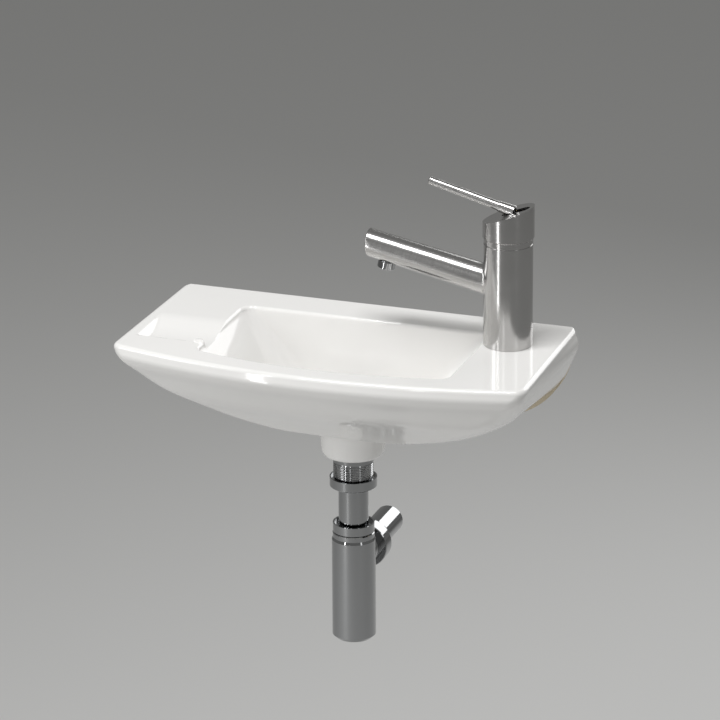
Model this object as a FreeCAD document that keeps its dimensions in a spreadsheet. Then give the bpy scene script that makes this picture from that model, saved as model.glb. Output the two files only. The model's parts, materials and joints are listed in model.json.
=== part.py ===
"""Wall hung hand basin with a single-lever tap on its right deck and a bottle trap below.

Lengths are millimetres. X runs to the right as one faces the basin, Y runs into the wall,
Z is up. The wall is the plane Y = 0, and the origin lies midway between the two wall fixings.
Three local origins are used: the rim above the fixings, the tap's axis on the deck, and the
waste's axis at the level of the rim.
"""
import FreeCAD
import Part
import Sketcher

import math
import os

from FreeCAD import Placement, Rotation, Vector

DOC = FreeCAD.newDocument("wall_basin")
SHEET = DOC.addObject("Spreadsheet::Sheet", "Sizes")

# ---------------------------------------------------------------------------------------------
# Driving dimensions: name, value, what it is
# ---------------------------------------------------------------------------------------------
SIZES = [
    # basin outline at the rim
    ("rim_height", 55.0, "rim above the wall fixings"),
    ("rear_width", 448.0, "width along the wall"),
    ("front_width", 458.0, "width between the front corners"),
    ("basin_reach", 237.0, "wall to the middle of the front edge"),
    ("bow_radius", 810.0, "plan radius of the front"),
    ("rear_corner", 18.0, "plan radius of the rear corners"),
    ("wall_overrun", 6.0, "how far the skirt is drawn into the wall before it is cut flat"),
    ("rim_roll", 5.0, "rolled outer rim edge"),
    # skirt sections under the rim: how far each lies below it and inside it
    ("rim_corner", 14.0, "front corner radius at the rim"),
    ("shoulder_depth", 10.0, "section where the skirt is widest"),
    ("shoulder_rear", -2.5, "inset of its sides at the wall"),
    ("shoulder_front", 2.0, "inset of its front corners"),
    ("shoulder_bow", -1.5, "inset of its front"),
    ("shoulder_corner", 17.0, "its corner radius"),
    ("belly_depth", 30.0, "second section"),
    ("belly_rear", 0.5, "inset of its sides at the wall"),
    ("belly_front", 12.0, "inset of its front corners"),
    ("belly_bow", 13.0, "inset of its front"),
    ("belly_corner", 30.0, "its corner radius"),
    ("bilge_depth", 54.0, "third section"),
    ("bilge_rear", 10.5, "inset of its sides at the wall"),
    ("bilge_front", 31.0, "inset of its front corners"),
    ("bilge_bow", 36.0, "inset of its front"),
    ("bilge_corner", 44.0, "its corner radius"),
    ("turn_depth", 76.0, "fourth section"),
    ("turn_rear", 29.3, "inset of its sides at the wall"),
    ("turn_front", 58.7, "inset of its front corners"),
    ("turn_bow", 65.5, "inset of its front"),
    ("turn_corner", 52.0, "its corner radius"),
    ("keel_depth", 93.0, "fifth section"),
    ("keel_rear", 59.0, "inset of its sides at the wall"),
    ("keel_front", 87.0, "inset of its front corners"),
    ("keel_bow", 89.0, "inset of its front"),
    ("keel_corner", 52.0, "its corner radius"),
    ("bottom_depth", 104.0, "flat bottom of the skirt"),
    ("bottom_rear", 104.0, "inset of its sides at the wall"),
    ("bottom_front", 133.0, "inset of its front corners"),
    ("bottom_bow", 102.5, "inset of its front"),
    ("bottom_corner", 45.0, "its corner radius"),
    # bowl
    ("left_deck", 86.0, "side of the basin to the bowl's left edge"),
    ("right_deck", 82.0, "side of the basin to the bowl's right edge"),
    ("rear_ledge", 46.0, "wall to the bowl's rear edge"),
    ("front_rim", 27.0, "bowl's front edge to the basin's front"),
    ("bowl_bow_radius", 550.0, "plan radius of the bowl's front"),
    ("bowl_corner", 14.0, "corner radius at the bowl's edge"),
    ("bowl_edge_roll", 4.0, "rolled edge of the bowl"),
    ("bowl_edge_out", 2.2, "how far the roll widens the bowl at the deck"),
    ("bowl_edge_in", 1.4, "how far the wall leans in under the roll"),
    ("bowl_wall_depth", 45.0, "section halfway down the bowl"),
    ("bowl_wall_side", 29.0, "inset of its sides"),
    ("bowl_wall_rear", 1.5, "inset of its rear"),
    ("bowl_wall_front", 21.0, "inset of its front"),
    ("bowl_wall_corner", 24.0, "its corner radius"),
    ("bowl_turn_depth", 80.0, "section where the walls turn into the floor"),
    ("bowl_turn_side", 51.0, "inset of its sides"),
    ("bowl_turn_rear", 4.0, "inset of its rear"),
    ("bowl_turn_front", 54.0, "inset of its front"),
    ("bowl_turn_corner", 30.0, "its corner radius"),
    ("bowl_floor_depth", 92.0, "floor of the bowl below the rim"),
    ("bowl_floor_side", 74.0, "inset of its sides"),
    ("bowl_floor_rear", 12.0, "inset of its rear"),
    ("bowl_floor_front", 92.0, "inset of its front"),
    ("bowl_floor_corner", 22.0, "its corner radius"),
    # wall flange and hollow undersides
    ("flange_thickness", 16.0, "rear wall flange"),
    ("flange_half_width", 219.5, "half width of the flange"),
    ("flange_corner", 85.0, "radius of its lower corners"),
    ("flange_top_depth", 18.0, "its top edge below the rim"),
    ("deck_thickness", 14.0, "deck round the tap hole"),
    ("soap_deck_thickness", 22.0, "deck under the soap recess"),
    ("hollow_edge_gap", 4.5, "bowl's edge to the hollow at deck level"),
    ("hollow_outer", 11.0, "side of the basin to the hollow at deck level, at the wall"),
    ("hollow_front_outer", 10.0, "the same at its front"),
    ("hollow_front", 188.0, "wall to its front at deck level"),
    ("hollow_mid_depth", 50.0, "second section of the hollow"),
    ("hollow_mid_inner", 22.5, "its inner side from the deck level's"),
    ("hollow_mid_outer", 21.0, "side of the basin to it, at the wall"),
    ("hollow_mid_front_outer", 36.0, "the same at its front"),
    ("hollow_mid_front", 168.0, "wall to its front"),
    ("hollow_low_depth", 80.0, "third section"),
    ("hollow_low_inner", 41.5, "its inner side from the deck level's"),
    ("hollow_low_outer", 54.0, "side of the basin to it, at the wall"),
    ("hollow_low_front_outer", 72.0, "the same at its front"),
    ("hollow_low_front", 128.0, "wall to its front"),
    ("hollow_end_depth", 112.0, "last section, below the skirt"),
    ("hollow_end_inner", 55.0, "its inner side from the deck level's"),
    ("hollow_end_outer", 74.0, "side of the basin to it, at the wall"),
    ("hollow_end_front_outer", 96.0, "the same at its front"),
    ("hollow_end_front", 100.0, "wall to its front"),
    ("hollow_rear_corner", 3.5, "corner radius of the hollows at the wall"),
    ("hollow_front_corner", 30.0, "their outer front corner"),
    # soap recess on the left deck
    ("recess_margin", 11.0, "side of the basin to the recess"),
    ("recess_rear", 102.0, "wall to the recess"),
    ("recess_front", 169.0, "wall to the recess's front edge"),
    ("recess_depth", 7.0, "depth of the recess at its front"),
    ("recess_slope", 38.0, "run of its sloping rear"),
    ("recess_draft", 3.5, "slope of its front"),
    ("recess_side_draft", 7.0, "slope of its left end"),
    ("recess_overrun", 16.0, "how far its drain runs past the bowl's edge"),
    ("recess_corner", 10.0, "its corner radius"),
    ("pip_radius", 7.5, "raised pip at the recess's mouth"),
    ("pip_height", 2.5, "pip above the deck"),
    ("pip_ease", 1.5, "its eased top edge"),
    # wall fixings
    ("fixing_inset", 84.0, "side of the basin to the wall fixing"),
    ("fixing_hole", 8.0, "radius of the holes in the flange"),
    ("bush_gap", 0.1, "bush to its hole"),
    ("bush_bore", 5.2, "radius inside the bush, for a 10 mm bolt"),
    ("bush_flange", 13.0, "radius of the bush's flange"),
    ("bush_flange_thickness", 3.0, "its thickness"),
    # outlet in the basin
    ("waste_from_wall", 86.0, "waste axis to the wall"),
    ("waste_hole", 22.5, "radius of the outlet"),
    ("waste_seat", 32.6, "radius of the seat in the bowl's floor"),
    ("waste_seat_depth", 4.0, "depth of that seat"),
    ("boss_depth", 139.0, "bottom of the outlet boss below the rim"),
    ("boss_radius", 36.5, "outlet boss"),
    ("boss_taper", 3.0, "how much narrower it is at its lower edge"),
    ("boss_round", 9.0, "its eased lower edge"),
    ("boss_recess", 28.5, "radius of the recess under it"),
    ("boss_recess_depth", 8.0, "depth of that recess"),
    # waste
    ("waste_flange", 32.0, "radius of the waste's flange"),
    ("waste_flange_thickness", 2.5, "its thickness"),
    ("tail_radius", 20.9, "outside of the 1 1/4 inch thread"),
    ("tail_bore", 17.5, "inside of the tail"),
    ("tail_depth", 170.0, "end of the tail below the rim"),
    ("grid_radius", 24.0, "strainer plate"),
    ("grid_thickness", 1.5, "its thickness"),
    ("grid_hole", 3.6, "radius of its holes"),
    ("grid_ring", 11.0, "radius of its ring of holes"),
    ("grid_holes", 6.0, "holes in that ring"),
    ("rubber_thickness", 2.5, "washer under the boss"),
    ("back_nut_radius", 27.5, "flange of the back nut"),
    ("back_nut_flange", 5.0, "its thickness"),
    ("back_nut_hub", 21.9, "its visible collar"),
    ("back_nut_height", 13.0, "flange and collar"),
    # union nut, tube and top nut
    ("union_depth", 165.0, "top of the union nut below the rim"),
    ("union_height", 10.6, "its height"),
    ("union_radius", 25.6, "its radius"),
    ("union_lip", 1.6, "its wall at the open top"),
    ("union_cup", 2.5, "depth of its open top"),
    ("union_floor", 2.6, "thickness of its floor"),
    ("seal_thickness", 1.5, "flat seals of the trap"),
    ("seal_inset", 0.5, "edge of a flat seal to the edge that it seals"),
    ("tube_radius", 16.2, "inlet tube, 1 1/4 inch"),
    ("tube_wall", 1.2, "its wall"),
    ("tube_collar", 20.2, "radius of its collar"),
    ("tube_depth", 302.0, "its lower end below the rim"),
    ("slip_gap", 0.3, "tube to the rings round it"),
    ("edge_break", 0.8, "small chamfer on turned metal edges"),
    ("top_nut_depth", 218.0, "top of the slip nut below the rim"),
    ("top_nut_height", 10.2, "its height"),
    ("top_nut_radius", 22.5, "its radius"),
    ("top_nut_lip", 1.7, "its wall at the open top"),
    ("top_nut_cup", 3.5, "depth of its open top"),
    ("top_nut_web", 2.0, "ring inside it that presses the seal"),
    # trap body
    ("neck_radius", 19.2, "threaded neck of the trap"),
    ("collar_radius", 22.8, "bead under the slip nut"),
    ("collar_depth", 234.0, "its lower edge below the rim"),
    ("trap_radius", 23.7, "outside of the bottle"),
    ("trap_wall", 1.8, "its wall"),
    ("neck_bore", 17.0, "inside of the trap's neck"),
    ("shoulder_drop", 3.0, "slope of its shoulder"),
    ("trap_depth", 351.0, "its bottom below the rim"),
    ("trap_chamfer", 3.5, "its lower edge"),
    ("plug_radius", 18.5, "cleaning plug"),
    ("plug_height", 10.0, "its height"),
    ("plug_slot", 3.0, "its coin slot"),
    ("plug_seal_height", 2.5, "ring seal of the plug"),
    ("outlet_depth", 260.0, "outlet axis below the rim"),
    ("stub_radius", 19.3, "threaded outlet stub"),
    ("stub_reach", 46.0, "its end from the trap's axis"),
    ("outlet_nut_radius", 25.0, "outlet nut"),
    ("outlet_nut_start", 36.0, "its front from the trap's axis"),
    ("outlet_nut_length", 21.0, "its length"),
    ("outlet_nut_shoulder", 5.0, "rounded shoulder behind it"),
    ("outlet_radius", 16.0, "outlet pipe, 32 mm"),
    ("outlet_wall", 1.2, "its wall"),
    ("outlet_start", 29.0, "its hidden end from the trap's axis"),
    ("outlet_sizing", 0.4, "by how much its end in the seal is sized down"),
    ("wall_reach", 30.0, "how far it stands into the wall"),
    # tap column
    ("tap_bowl_gap", 0.3, "tap's foot to the bowl's edge"),
    ("tap_from_wall", 70.8, "tap axis to the wall"),
    ("tap_hole", 17.5, "radius of the tap hole"),
    ("tap_radius", 26.0, "column"),
    ("tap_wall", 4.0, "its wall"),
    ("tap_foot_gap", 0.3, "column to the deck"),
    ("tap_height", 119.5, "its shoulder under the cap"),
    ("tap_neck", 23.6, "radius of its neck inside the cap"),
    ("tap_neck_height", 6.0, "height of that neck"),
    ("groove_height", 113.0, "fine groove round the column"),
    ("groove_width", 1.6, "its width"),
    ("groove_cut", 0.6, "its depth"),
    ("core_gap", 0.1, "valve body to the column"),
    ("core_bottom", 44.0, "underside of the valve body"),
    ("core_top", 117.0, "its top"),
    ("inlet_x", 5.0, "supply inlets beside the axis"),
    ("inlet_y", 7.5, "half their spacing"),
    ("inlet_radius", 4.5, "threaded for 10 mm hose ends"),
    ("inlet_length", 12.0, "depth of that thread"),
    ("port_radius", 2.8, "water ways"),
    ("mixed_x", 7.0, "mixed water way from the axis"),
    ("mixed_radius", 3.6, "its radius"),
    ("outlet_port", 9.0, "radius of the port to the spout"),
    # foot of the tap
    ("base_seal_thickness", 1.5, "rubber ring on the deck"),
    ("base_flange", 3.5, "thickness of the centring ring's flange"),
    ("base_bore", 15.2, "its bore, which the hoses pass"),
    ("spigot_gap", 0.4, "its spigot to the tap hole"),
    ("spigot_length", 8.0, "spigot below the deck's surface"),
    ("clamp_radius", 21.0, "horseshoes under the deck"),
    ("clamp_slot", 14.5, "half width of their open side"),
    ("clamp_slot_end", 1.5, "slot's end beyond the axis"),
    ("clamp_corner", 5.0, "corner radius of the slot"),
    ("gasket_thickness", 3.0, "rubber horseshoe"),
    ("plate_thickness", 2.5, "steel horseshoe"),
    ("stud_x", 9.5, "stud from the tap's axis"),
    ("stud_radius", 4.0, "8 mm stud"),
    ("stud_gap", 0.3, "stud to the holes it passes"),
    ("stud_engagement", 13.0, "stud inside the valve body"),
    ("stud_tail", 24.0, "stud below the nut's seat"),
    ("nut_flats", 13.0, "across flats of the nut"),
    ("nut_height", 6.5, "height of the nut"),
    # spout and aerator
    ("spout_height", 64.5, "spout's axis at the column's axis"),
    ("spout_tilt", 11.8, "rise of the spout in degrees"),
    ("spout_length", 156.8, "column's axis to the spout's end"),
    ("spout_tip", 14.8, "radius at the end"),
    ("spout_root", 16.0, "radius at the column"),
    ("spout_wall", 2.0, "its wall"),
    ("spout_end", 2.5, "thickness of its end"),
    ("spout_port", 11.0, "hole in the column for the water"),
    ("spout_start", 19.0, "hidden start of the spout's skin"),
    ("aerator_from_end", 22.8, "aerator's axis to the spout's end"),
    ("aerator_radius", 9.5, "aerator housing"),
    ("aerator_drop", 22.0, "its face below the spout's axis"),
    ("aerator_seat", 13.6, "its seat below the spout's axis"),
    ("socket_radius", 9.6, "socket in the spout that takes it"),
    ("socket_top", 9.4, "top of the socket below the spout's axis"),
    ("aerator_thread", 8.4, "radius of its thread"),
    ("aerator_thread_length", 3.0, "length of its thread"),
    ("aerator_bore", 7.4, "inside it"),
    ("aerator_lip", 1.2, "lip that holds the insert"),
    ("aerator_mouth", 6.4, "its mouth inside the lip"),
    ("insert_top", 14.2, "top of the insert below the spout's axis"),
    ("insert_hole", 1.4, "its holes"),
    ("insert_ring", 4.6, "radius of their ring"),
    ("washer_bore", 5.0, "washer above the housing"),
    ("washer_thickness", 1.0, "its thickness"),
    ("aerator_gap", 0.1, "clearances of the aerator"),
    # cartridge
    ("seal_plate", 1.5, "rubber plate under the cartridge"),
    ("seat_depth", 90.0, "cartridge seat above the deck"),
    ("cartridge_radius", 17.4, "cartridge housing"),
    ("cartridge_gap", 0.2, "housing to its seat"),
    ("fit_gap", 0.1, "clearance of parts that only sit in one another"),
    ("cartridge_shoulder", 113.0, "its shoulder above the deck"),
    ("cartridge_collar", 15.2, "radius of its collar"),
    ("cartridge_top", 127.0, "its top"),
    ("cartridge_floor", 4.0, "thickness of its floor"),
    ("cartridge_roof", 3.2, "thickness of its top"),
    ("chamber_radius", 13.0, "chamber of the discs and the rotor"),
    ("ring_nut_radius", 20.0, "cartridge nut"),
    ("ring_nut_height", 6.0, "its height"),
    ("ring_nut_slots", 4.0, "spanner slots in it"),
    ("ring_nut_slot", 3.0, "width of each"),
    ("disc_gap", 0.2, "discs to the chamber"),
    ("fixed_disc_height", 4.5, "fixed ceramic disc"),
    ("sliding_radius", 9.9, "moving disc and its carrier"),
    ("moving_disc_height", 3.5, "moving ceramic disc"),
    ("disc_film", 0.1, "between the two discs"),
    ("carrier_height", 6.8, "disc carrier"),
    ("carrier_pocket", 3.6, "half width of the pocket for the spindle's foot"),
    ("rotor_gap", 0.3, "rotor to the housing"),
    ("rotor_bottom", 113.0, "underside of the rotor"),
    ("rotor_neck", 10.6, "radius of its neck"),
    ("rotor_top", 131.0, "top of the rotor"),
    ("pivot_height", 121.0, "lever pivot above the deck"),
    ("pin_radius", 1.5, "pivot pin"),
    ("pin_gap", 0.05, "spindle to the pin"),
    ("pin_length", 22.0, "pivot pin"),
    ("spindle_side", 8.0, "square spindle"),
    ("spindle_gap", 0.25, "spindle to the rotor's slot"),
    ("foot_radius", 3.2, "rounded foot of the spindle"),
    ("foot_drop", 13.0, "foot's centre below the pivot"),
    ("foot_neck", 4.4, "width above the foot"),
    ("bar_bottom", 112.0, "square part of the spindle above the deck"),
    ("bar_top", 140.5, "its top"),
    ("tenon_side", 6.0, "square end held in the lever"),
    ("tenon_top", 150.0, "its end above the deck"),
    ("lift_angle", 22.0, "travel of the lever in degrees"),
    # cap and lever
    ("cap_radius", 27.3, "slanted cap"),
    ("cap_wall", 2.4, "its wall and roof"),
    ("cap_gap", 0.5, "cap to the column's shoulder"),
    ("cap_height", 145.0, "its slanted face at the axis"),
    ("cap_slope", 20.3, "slope of that face in degrees"),
    ("glide_gap", 0.15, "glide ring to the cap"),
    ("slot_half", 7.3, "half width of the lever slot"),
    ("slot_front", 7.0, "slot in front of the axis"),
    ("slot_rear", 22.8, "slot behind the axis"),
    ("slot_corner", 6.6, "rounded ends of the slot"),
    ("glide_height", 5.0, "glide ring"),
    ("lever_height", 149.1, "lever's axis at the column's axis"),
    ("lever_tilt", 15.0, "rise of the lever in degrees"),
    ("lever_length", 90.4, "column's axis to the lever's end"),
    ("lever_tip", 4.35, "radius at its end"),
    ("lever_root", 5.0, "radius at the neck"),
    ("neck_front", 11.0, "neck in front of the column's axis"),
    ("neck_back", 7.0, "neck behind it"),
    ("neck_tip", 5.8, "radius of the neck at the rod"),
    ("neck_root", 6.8, "radius at its back"),
    ("spigot_radius", 3.0, "spigot of the rod in the neck"),
    ("rod_spigot", 5.0, "length of that spigot"),
    ("screw_radius", 2.0, "grub screw"),
    ("screw_start", 3.9, "grub screw from the column's axis"),
    ("screw_length", 2.9, "its length"),
    ("screw_socket", 1.0, "its hexagon socket"),
]

VALUES = {name: value for name, value, meaning in SIZES}


class Size:
    """A length or angle together with the sheet expression that gives it."""

    def __init__(self, value, text):
        self.value = value
        self.text = text

    def __add__(self, other):
        other = sized(other)
        return Size(self.value + other.value, "(%s + %s)" % (self.text, other.text))

    def __radd__(self, other):
        return sized(other) + self

    def __sub__(self, other):
        other = sized(other)
        return Size(self.value - other.value, "(%s - %s)" % (self.text, other.text))

    def __rsub__(self, other):
        return sized(other) - self

    def __mul__(self, other):
        other = sized(other)
        return Size(self.value * other.value, "(%s * %s)" % (self.text, other.text))

    def __rmul__(self, other):
        return sized(other) * self

    def __truediv__(self, other):
        other = sized(other)
        return Size(self.value / other.value, "(%s / %s)" % (self.text, other.text))

    def __neg__(self):
        return Size(-self.value, "(0 - %s)" % self.text)


def sized(number):
    """A plain number as a Size."""
    if isinstance(number, Size):
        return number
    return Size(float(number), "%.6g" % number if number >= 0 else "(0 - %.6g)" % -number)


def size(name):
    """The sheet's value of that name."""
    return Size(VALUES[name], "Sizes." + name)


def sine(angle):
    return Size(math.sin(math.radians(angle.value)), "sin(%s * 1deg)" % angle.text)


def cosine(angle):
    return Size(math.cos(math.radians(angle.value)), "cos(%s * 1deg)" % angle.text)


def tangent(angle):
    return Size(math.tan(math.radians(angle.value)), "tan(%s * 1deg)" % angle.text)


def fill_sheet():
    """Write every driving dimension as a plain number with its name as alias."""
    for row, (name, value, meaning) in enumerate(SIZES, start=1):
        SHEET.set("A%d" % row, meaning)
        SHEET.set("B%d" % row, "%g" % value)
        SHEET.setAlias("B%d" % row, name)
    DOC.recompute()


# ---------------------------------------------------------------------------------------------
# Bodies, sketches and features
# ---------------------------------------------------------------------------------------------
PARTS = []


def new_body(label, x=0, y=0, z=0):
    """A sub-part whose own origin stands at a place given by sizes."""
    body = DOC.addObject("PartDesign::Body", label)
    body.Label = label
    place = [sized(x), sized(y), sized(z)]
    body.Placement = Placement(Vector(*[part.value for part in place]), Rotation())
    for axis, part in zip("xyz", place):
        body.setExpression("Placement.Base." + axis, part.text)
    PARTS.append(body)
    return body


def new_sketch(body, name, plane="XY_Plane", lift=0, shift=(0, 0), turn=0):
    """A sketch on one of the body's own planes, lifted off it, shifted and turned in it."""
    sketch = body.newObject("Sketcher::SketchObject", name)
    support = [item for item in body.Origin.OriginFeatures if item.Role == plane][0]
    sketch.AttachmentSupport = (support, [""])
    sketch.MapMode = "FlatFace"
    offset = [sized(shift[0]), sized(shift[1]), sized(lift)]
    angle = sized(turn)
    sketch.AttachmentOffset = Placement(Vector(*[part.value for part in offset]),
                                        Rotation(Vector(0, 0, 1), angle.value))
    for axis, part in zip("xyz", offset):
        sketch.setExpression("AttachmentOffset.Base." + axis, part.text)
    if angle.value:
        sketch.setExpression("AttachmentOffset.Rotation.Angle", angle.text)
    return sketch


def pin(sketch, kind, element, point, amount):
    """Hold a point of the sketch at a distance from its origin along X or Y."""
    amount = sized(amount)
    if amount.value == 0.0:
        axis = -2 if kind == "DistanceX" else -1
        sketch.addConstraint(Sketcher.Constraint("PointOnObject", element, point, axis))
        return
    index = sketch.addConstraint(Sketcher.Constraint(kind, -1, 1, element, point, amount.value))
    sketch.setExpression("Constraints[%d]" % index, amount.text)


def hold_radius(sketch, element, amount):
    """Bind the radius of an arc or a circle."""
    amount = sized(amount)
    index = sketch.addConstraint(Sketcher.Constraint("Radius", element, amount.value))
    sketch.setExpression("Constraints[%d]" % index, amount.text)


def corner_point(sketch, x, y, elements):
    """A construction point where two sides would meet, which holds both of them."""
    point = sketch.addGeometry(Part.Point(Vector(x.value, y.value, 0)), True)
    pin(sketch, "DistanceX", point, 1, x)
    pin(sketch, "DistanceY", point, 1, y)
    for element in elements:
        sketch.addConstraint(Sketcher.Constraint("PointOnObject", point, 1, element))


def add_arc(sketch, centre, radius, start, end):
    """An arc turning anticlockwise from one point to the other."""
    first = math.atan2(start.y - centre.y, start.x - centre.x)
    last = math.atan2(end.y - centre.y, end.x - centre.x)
    if last < first:
        last += 2 * math.pi
    circle = Part.Circle(centre, Vector(0, 0, 1), radius)
    return sketch.addGeometry(Part.ArcOfCircle(circle, first, last), False)


def outline(sketch, corners):
    """A closed outline of straight sides. A corner is (x, y) or (x, y, rounding radius)."""
    corners = [tuple(sized(item) for item in corner) for corner in corners]
    count = len(corners)
    places = [Vector(corner[0].value, corner[1].value, 0) for corner in corners]
    ends = []
    for index, corner in enumerate(corners):
        here = places[index]
        back = (places[index - 1] - here).normalize()
        ahead = (places[(index + 1) % count] - here).normalize()
        if len(corner) == 2:
            ends.append((here, here, None, 0))
            continue
        half = back.getAngle(ahead) / 2
        reach = corner[2].value / math.tan(half)
        centre = here + (back + ahead).normalize() * (corner[2].value / math.sin(half))
        left_turn = (-back).cross(ahead).z > 0
        ends.append((here + back * reach, here + ahead * reach, centre, 1 if left_turn else -1))
    sides = []
    for index in range(count):
        start = ends[index][1]
        stop = ends[(index + 1) % count][0]
        sides.append(sketch.addGeometry(Part.LineSegment(start, stop), False))
    for index, corner in enumerate(corners):
        arrive, leave, centre, turn = ends[index]
        before = sides[index - 1]
        after = sides[index]
        if centre is None:
            sketch.addConstraint(Sketcher.Constraint("Coincident", before, 2, after, 1))
            pin(sketch, "DistanceX", after, 1, corner[0])
            pin(sketch, "DistanceY", after, 1, corner[1])
            continue
        first, last = (arrive, leave) if turn > 0 else (leave, arrive)
        arc = add_arc(sketch, centre, corner[2].value, first, last)
        near, far = (1, 2) if turn > 0 else (2, 1)
        sketch.addConstraint(Sketcher.Constraint("Tangent", before, 2, arc, near))
        sketch.addConstraint(Sketcher.Constraint("Tangent", arc, far, after, 1))
        hold_radius(sketch, arc, corner[2])
        corner_point(sketch, corner[0], corner[1], (before, after))


def circle(sketch, radius, x=0, y=0):
    """A whole circle at a bound centre."""
    x = sized(x)
    y = sized(y)
    radius = sized(radius)
    ring = Part.Circle(Vector(x.value, y.value, 0), Vector(0, 0, 1), radius.value)
    element = sketch.addGeometry(ring, False)
    pin(sketch, "DistanceX", element, 3, x)
    pin(sketch, "DistanceY", element, 3, y)
    hold_radius(sketch, element, radius)


def bowed_outline(sketch, left, right, front_left, front_right, rear, front, bow, rear_round,
                  front_round):
    """Plan of a basin section: straight rear and sides, a front bowed to one radius.

    left and right are the sides' places at the rear, front_left and front_right their places
    where they meet the bow, whose middle lies at front.
    """
    middle = (left + right) / 2
    sharp = {}
    for name, rear_x, front_x in (("left", left, front_left), ("right", right, front_right)):
        sweep = front_x.value - middle.value
        front_y = front.value + bow.value - math.sqrt(bow.value ** 2 - sweep ** 2)
        sharp[name] = (Vector(rear_x.value, rear.value, 0), Vector(front_x.value, front_y, 0))
    centre = Vector(middle.value, front.value + bow.value, 0)
    points = {}
    for name, side in (("left", 1), ("right", -1)):
        start, stop = sharp[name]
        along = (stop - start).normalize()
        inward = Vector(-along.y, along.x, 0) * side
        run = rear_round.value * (-1 - inward.y) / along.y
        rear_centre = start + along * run + inward * rear_round.value
        offset = start + inward * front_round.value - centre
        reach = bow.value - front_round.value
        half = offset.dot(along)
        run_front = -half + math.sqrt(half ** 2 - offset.dot(offset) + reach ** 2)
        front_centre = centre + offset + along * run_front
        touch = centre + (front_centre - centre).normalize() * bow.value
        points[name] = (Vector(rear_centre.x, rear.value, 0), rear_centre, start + along * run,
                        start + along * run_front, front_centre, touch)
    a = points["left"]
    b = points["right"]
    chain = [
        sketch.addGeometry(Part.LineSegment(b[0], a[0]), False),
        add_arc(sketch, a[1], rear_round.value, a[0], a[2]),
        sketch.addGeometry(Part.LineSegment(a[2], a[3]), False),
        add_arc(sketch, a[4], front_round.value, a[3], a[5]),
        add_arc(sketch, centre, bow.value, a[5], b[5]),
        add_arc(sketch, b[4], front_round.value, b[5], b[3]),
        sketch.addGeometry(Part.LineSegment(b[3], b[2]), False),
        add_arc(sketch, b[1], rear_round.value, b[2], b[0]),
    ]
    for index, element in enumerate(chain):
        follower = chain[(index + 1) % len(chain)]
        sketch.addConstraint(Sketcher.Constraint("Tangent", element, 2, follower, 1))
    for index, radius in ((1, rear_round), (3, front_round), (4, bow), (5, front_round),
                          (7, rear_round)):
        hold_radius(sketch, chain[index], radius)
    corner_point(sketch, left, rear, (chain[0], chain[2]))
    corner_point(sketch, right, rear, (chain[0], chain[6]))
    corner_point(sketch, middle, front, (chain[4],))
    pin(sketch, "DistanceX", chain[4], 3, middle)
    for name, front_x, element in (("left", front_left, chain[2]), ("right", front_right, chain[6])):
        point = sketch.addGeometry(Part.Point(sharp[name][1]), True)
        pin(sketch, "DistanceX", point, 1, front_x)
        sketch.addConstraint(Sketcher.Constraint("PointOnObject", point, 1, element))
        sketch.addConstraint(Sketcher.Constraint("PointOnObject", point, 1, chain[4]))


def turned(body, name, corners, cut=False, upright=True, turn=0, shift=(0, 0), lift=0):
    """Revolve an outline of (radius, height) corners, or cut with it.

    An upright piece turns about Z. One that isn't lies along Y, and its corners are
    (distance towards the wall, radius).
    """
    plane = "XZ_Plane" if upright else "YZ_Plane"
    sketch = new_sketch(body, name + "_profile", plane, lift, shift, turn)
    outline(sketch, corners)
    feature = body.newObject("PartDesign::Groove" if cut else "PartDesign::Revolution", name)
    feature.Profile = sketch
    feature.ReferenceAxis = (sketch, ["V_Axis" if upright else "H_Axis"])
    feature.Angle = 360
    return feature


def prism(body, name, draw, length, plane="XY_Plane", cut=False, back=False, lift=0, shift=(0, 0),
          turn=0, centred=False):
    """Pad or pocket a sketch that draw() fills, along its normal or the other way."""
    sketch = new_sketch(body, name + "_outline", plane, lift, shift, turn)
    draw(sketch)
    length = sized(length)
    feature = body.newObject("PartDesign::Pocket" if cut else "PartDesign::Pad", name)
    feature.Profile = sketch
    feature.Length = length.value
    feature.setExpression("Length", length.text)
    feature.Reversed = back
    if centred:
        feature.SideType = "Symmetric"
    return feature


def loft(body, name, sketches, cut=False, ruled=False):
    """A skin through sections in order: smooth, or straight from each to the next."""
    kind = "PartDesign::SubtractiveLoft" if cut else "PartDesign::AdditiveLoft"
    feature = body.newObject(kind, name)
    feature.Profile = sketches[0]
    feature.Sections = sketches[1:]
    feature.Ruled = ruled
    return feature


def midway_in(radius):
    """How far a rounded corner has come in at the middle of its arc."""
    return radius * (1 - cosine(sized(45)))


def corner_cut(x, y, arriving, leaving):
    """Two points in place of a corner, each a step (along x, along y) back from it."""
    return [(x + arriving[0], y + arriving[1]), (x + leaving[0], y + leaving[1])]


def around(body, name, original, count, sketch):
    """Repeat a feature round the axis of its sketch."""
    DOC.recompute()
    feature = body.newObject("PartDesign::PolarPattern", name)
    feature.Originals = [original]
    feature.Axis = (sketch, ["N_Axis"])
    feature.Angle = 360
    feature.Occurrences = int(count.value)
    feature.setExpression("Occurrences", count.text)
    body.Tip = feature
    return feature


# ---------------------------------------------------------------------------------------------
# Basin
# ---------------------------------------------------------------------------------------------
def skirt_section(body, name, depth, rear_half, front_half, reach, corner, inset=0):
    """One level section of the basin's outside, drawn a little past the wall's plane."""
    sketch = new_sketch(body, name + "_section", lift=-depth)
    rear_half = rear_half - inset
    front_half = front_half - inset
    bowed_outline(sketch, -rear_half, rear_half, -front_half, front_half, size("wall_overrun"),
                  inset - reach, size("bow_radius") - inset, size("rear_corner") - inset,
                  corner - inset)
    return sketch


def rim_section(body, name, depth, inset):
    """A section of the rim, which follows the rim's own outline at an inset."""
    return skirt_section(body, name, sized(depth), size("rear_width") / 2,
                         size("front_width") / 2, size("basin_reach"), size("rim_corner"),
                         sized(inset))


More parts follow.
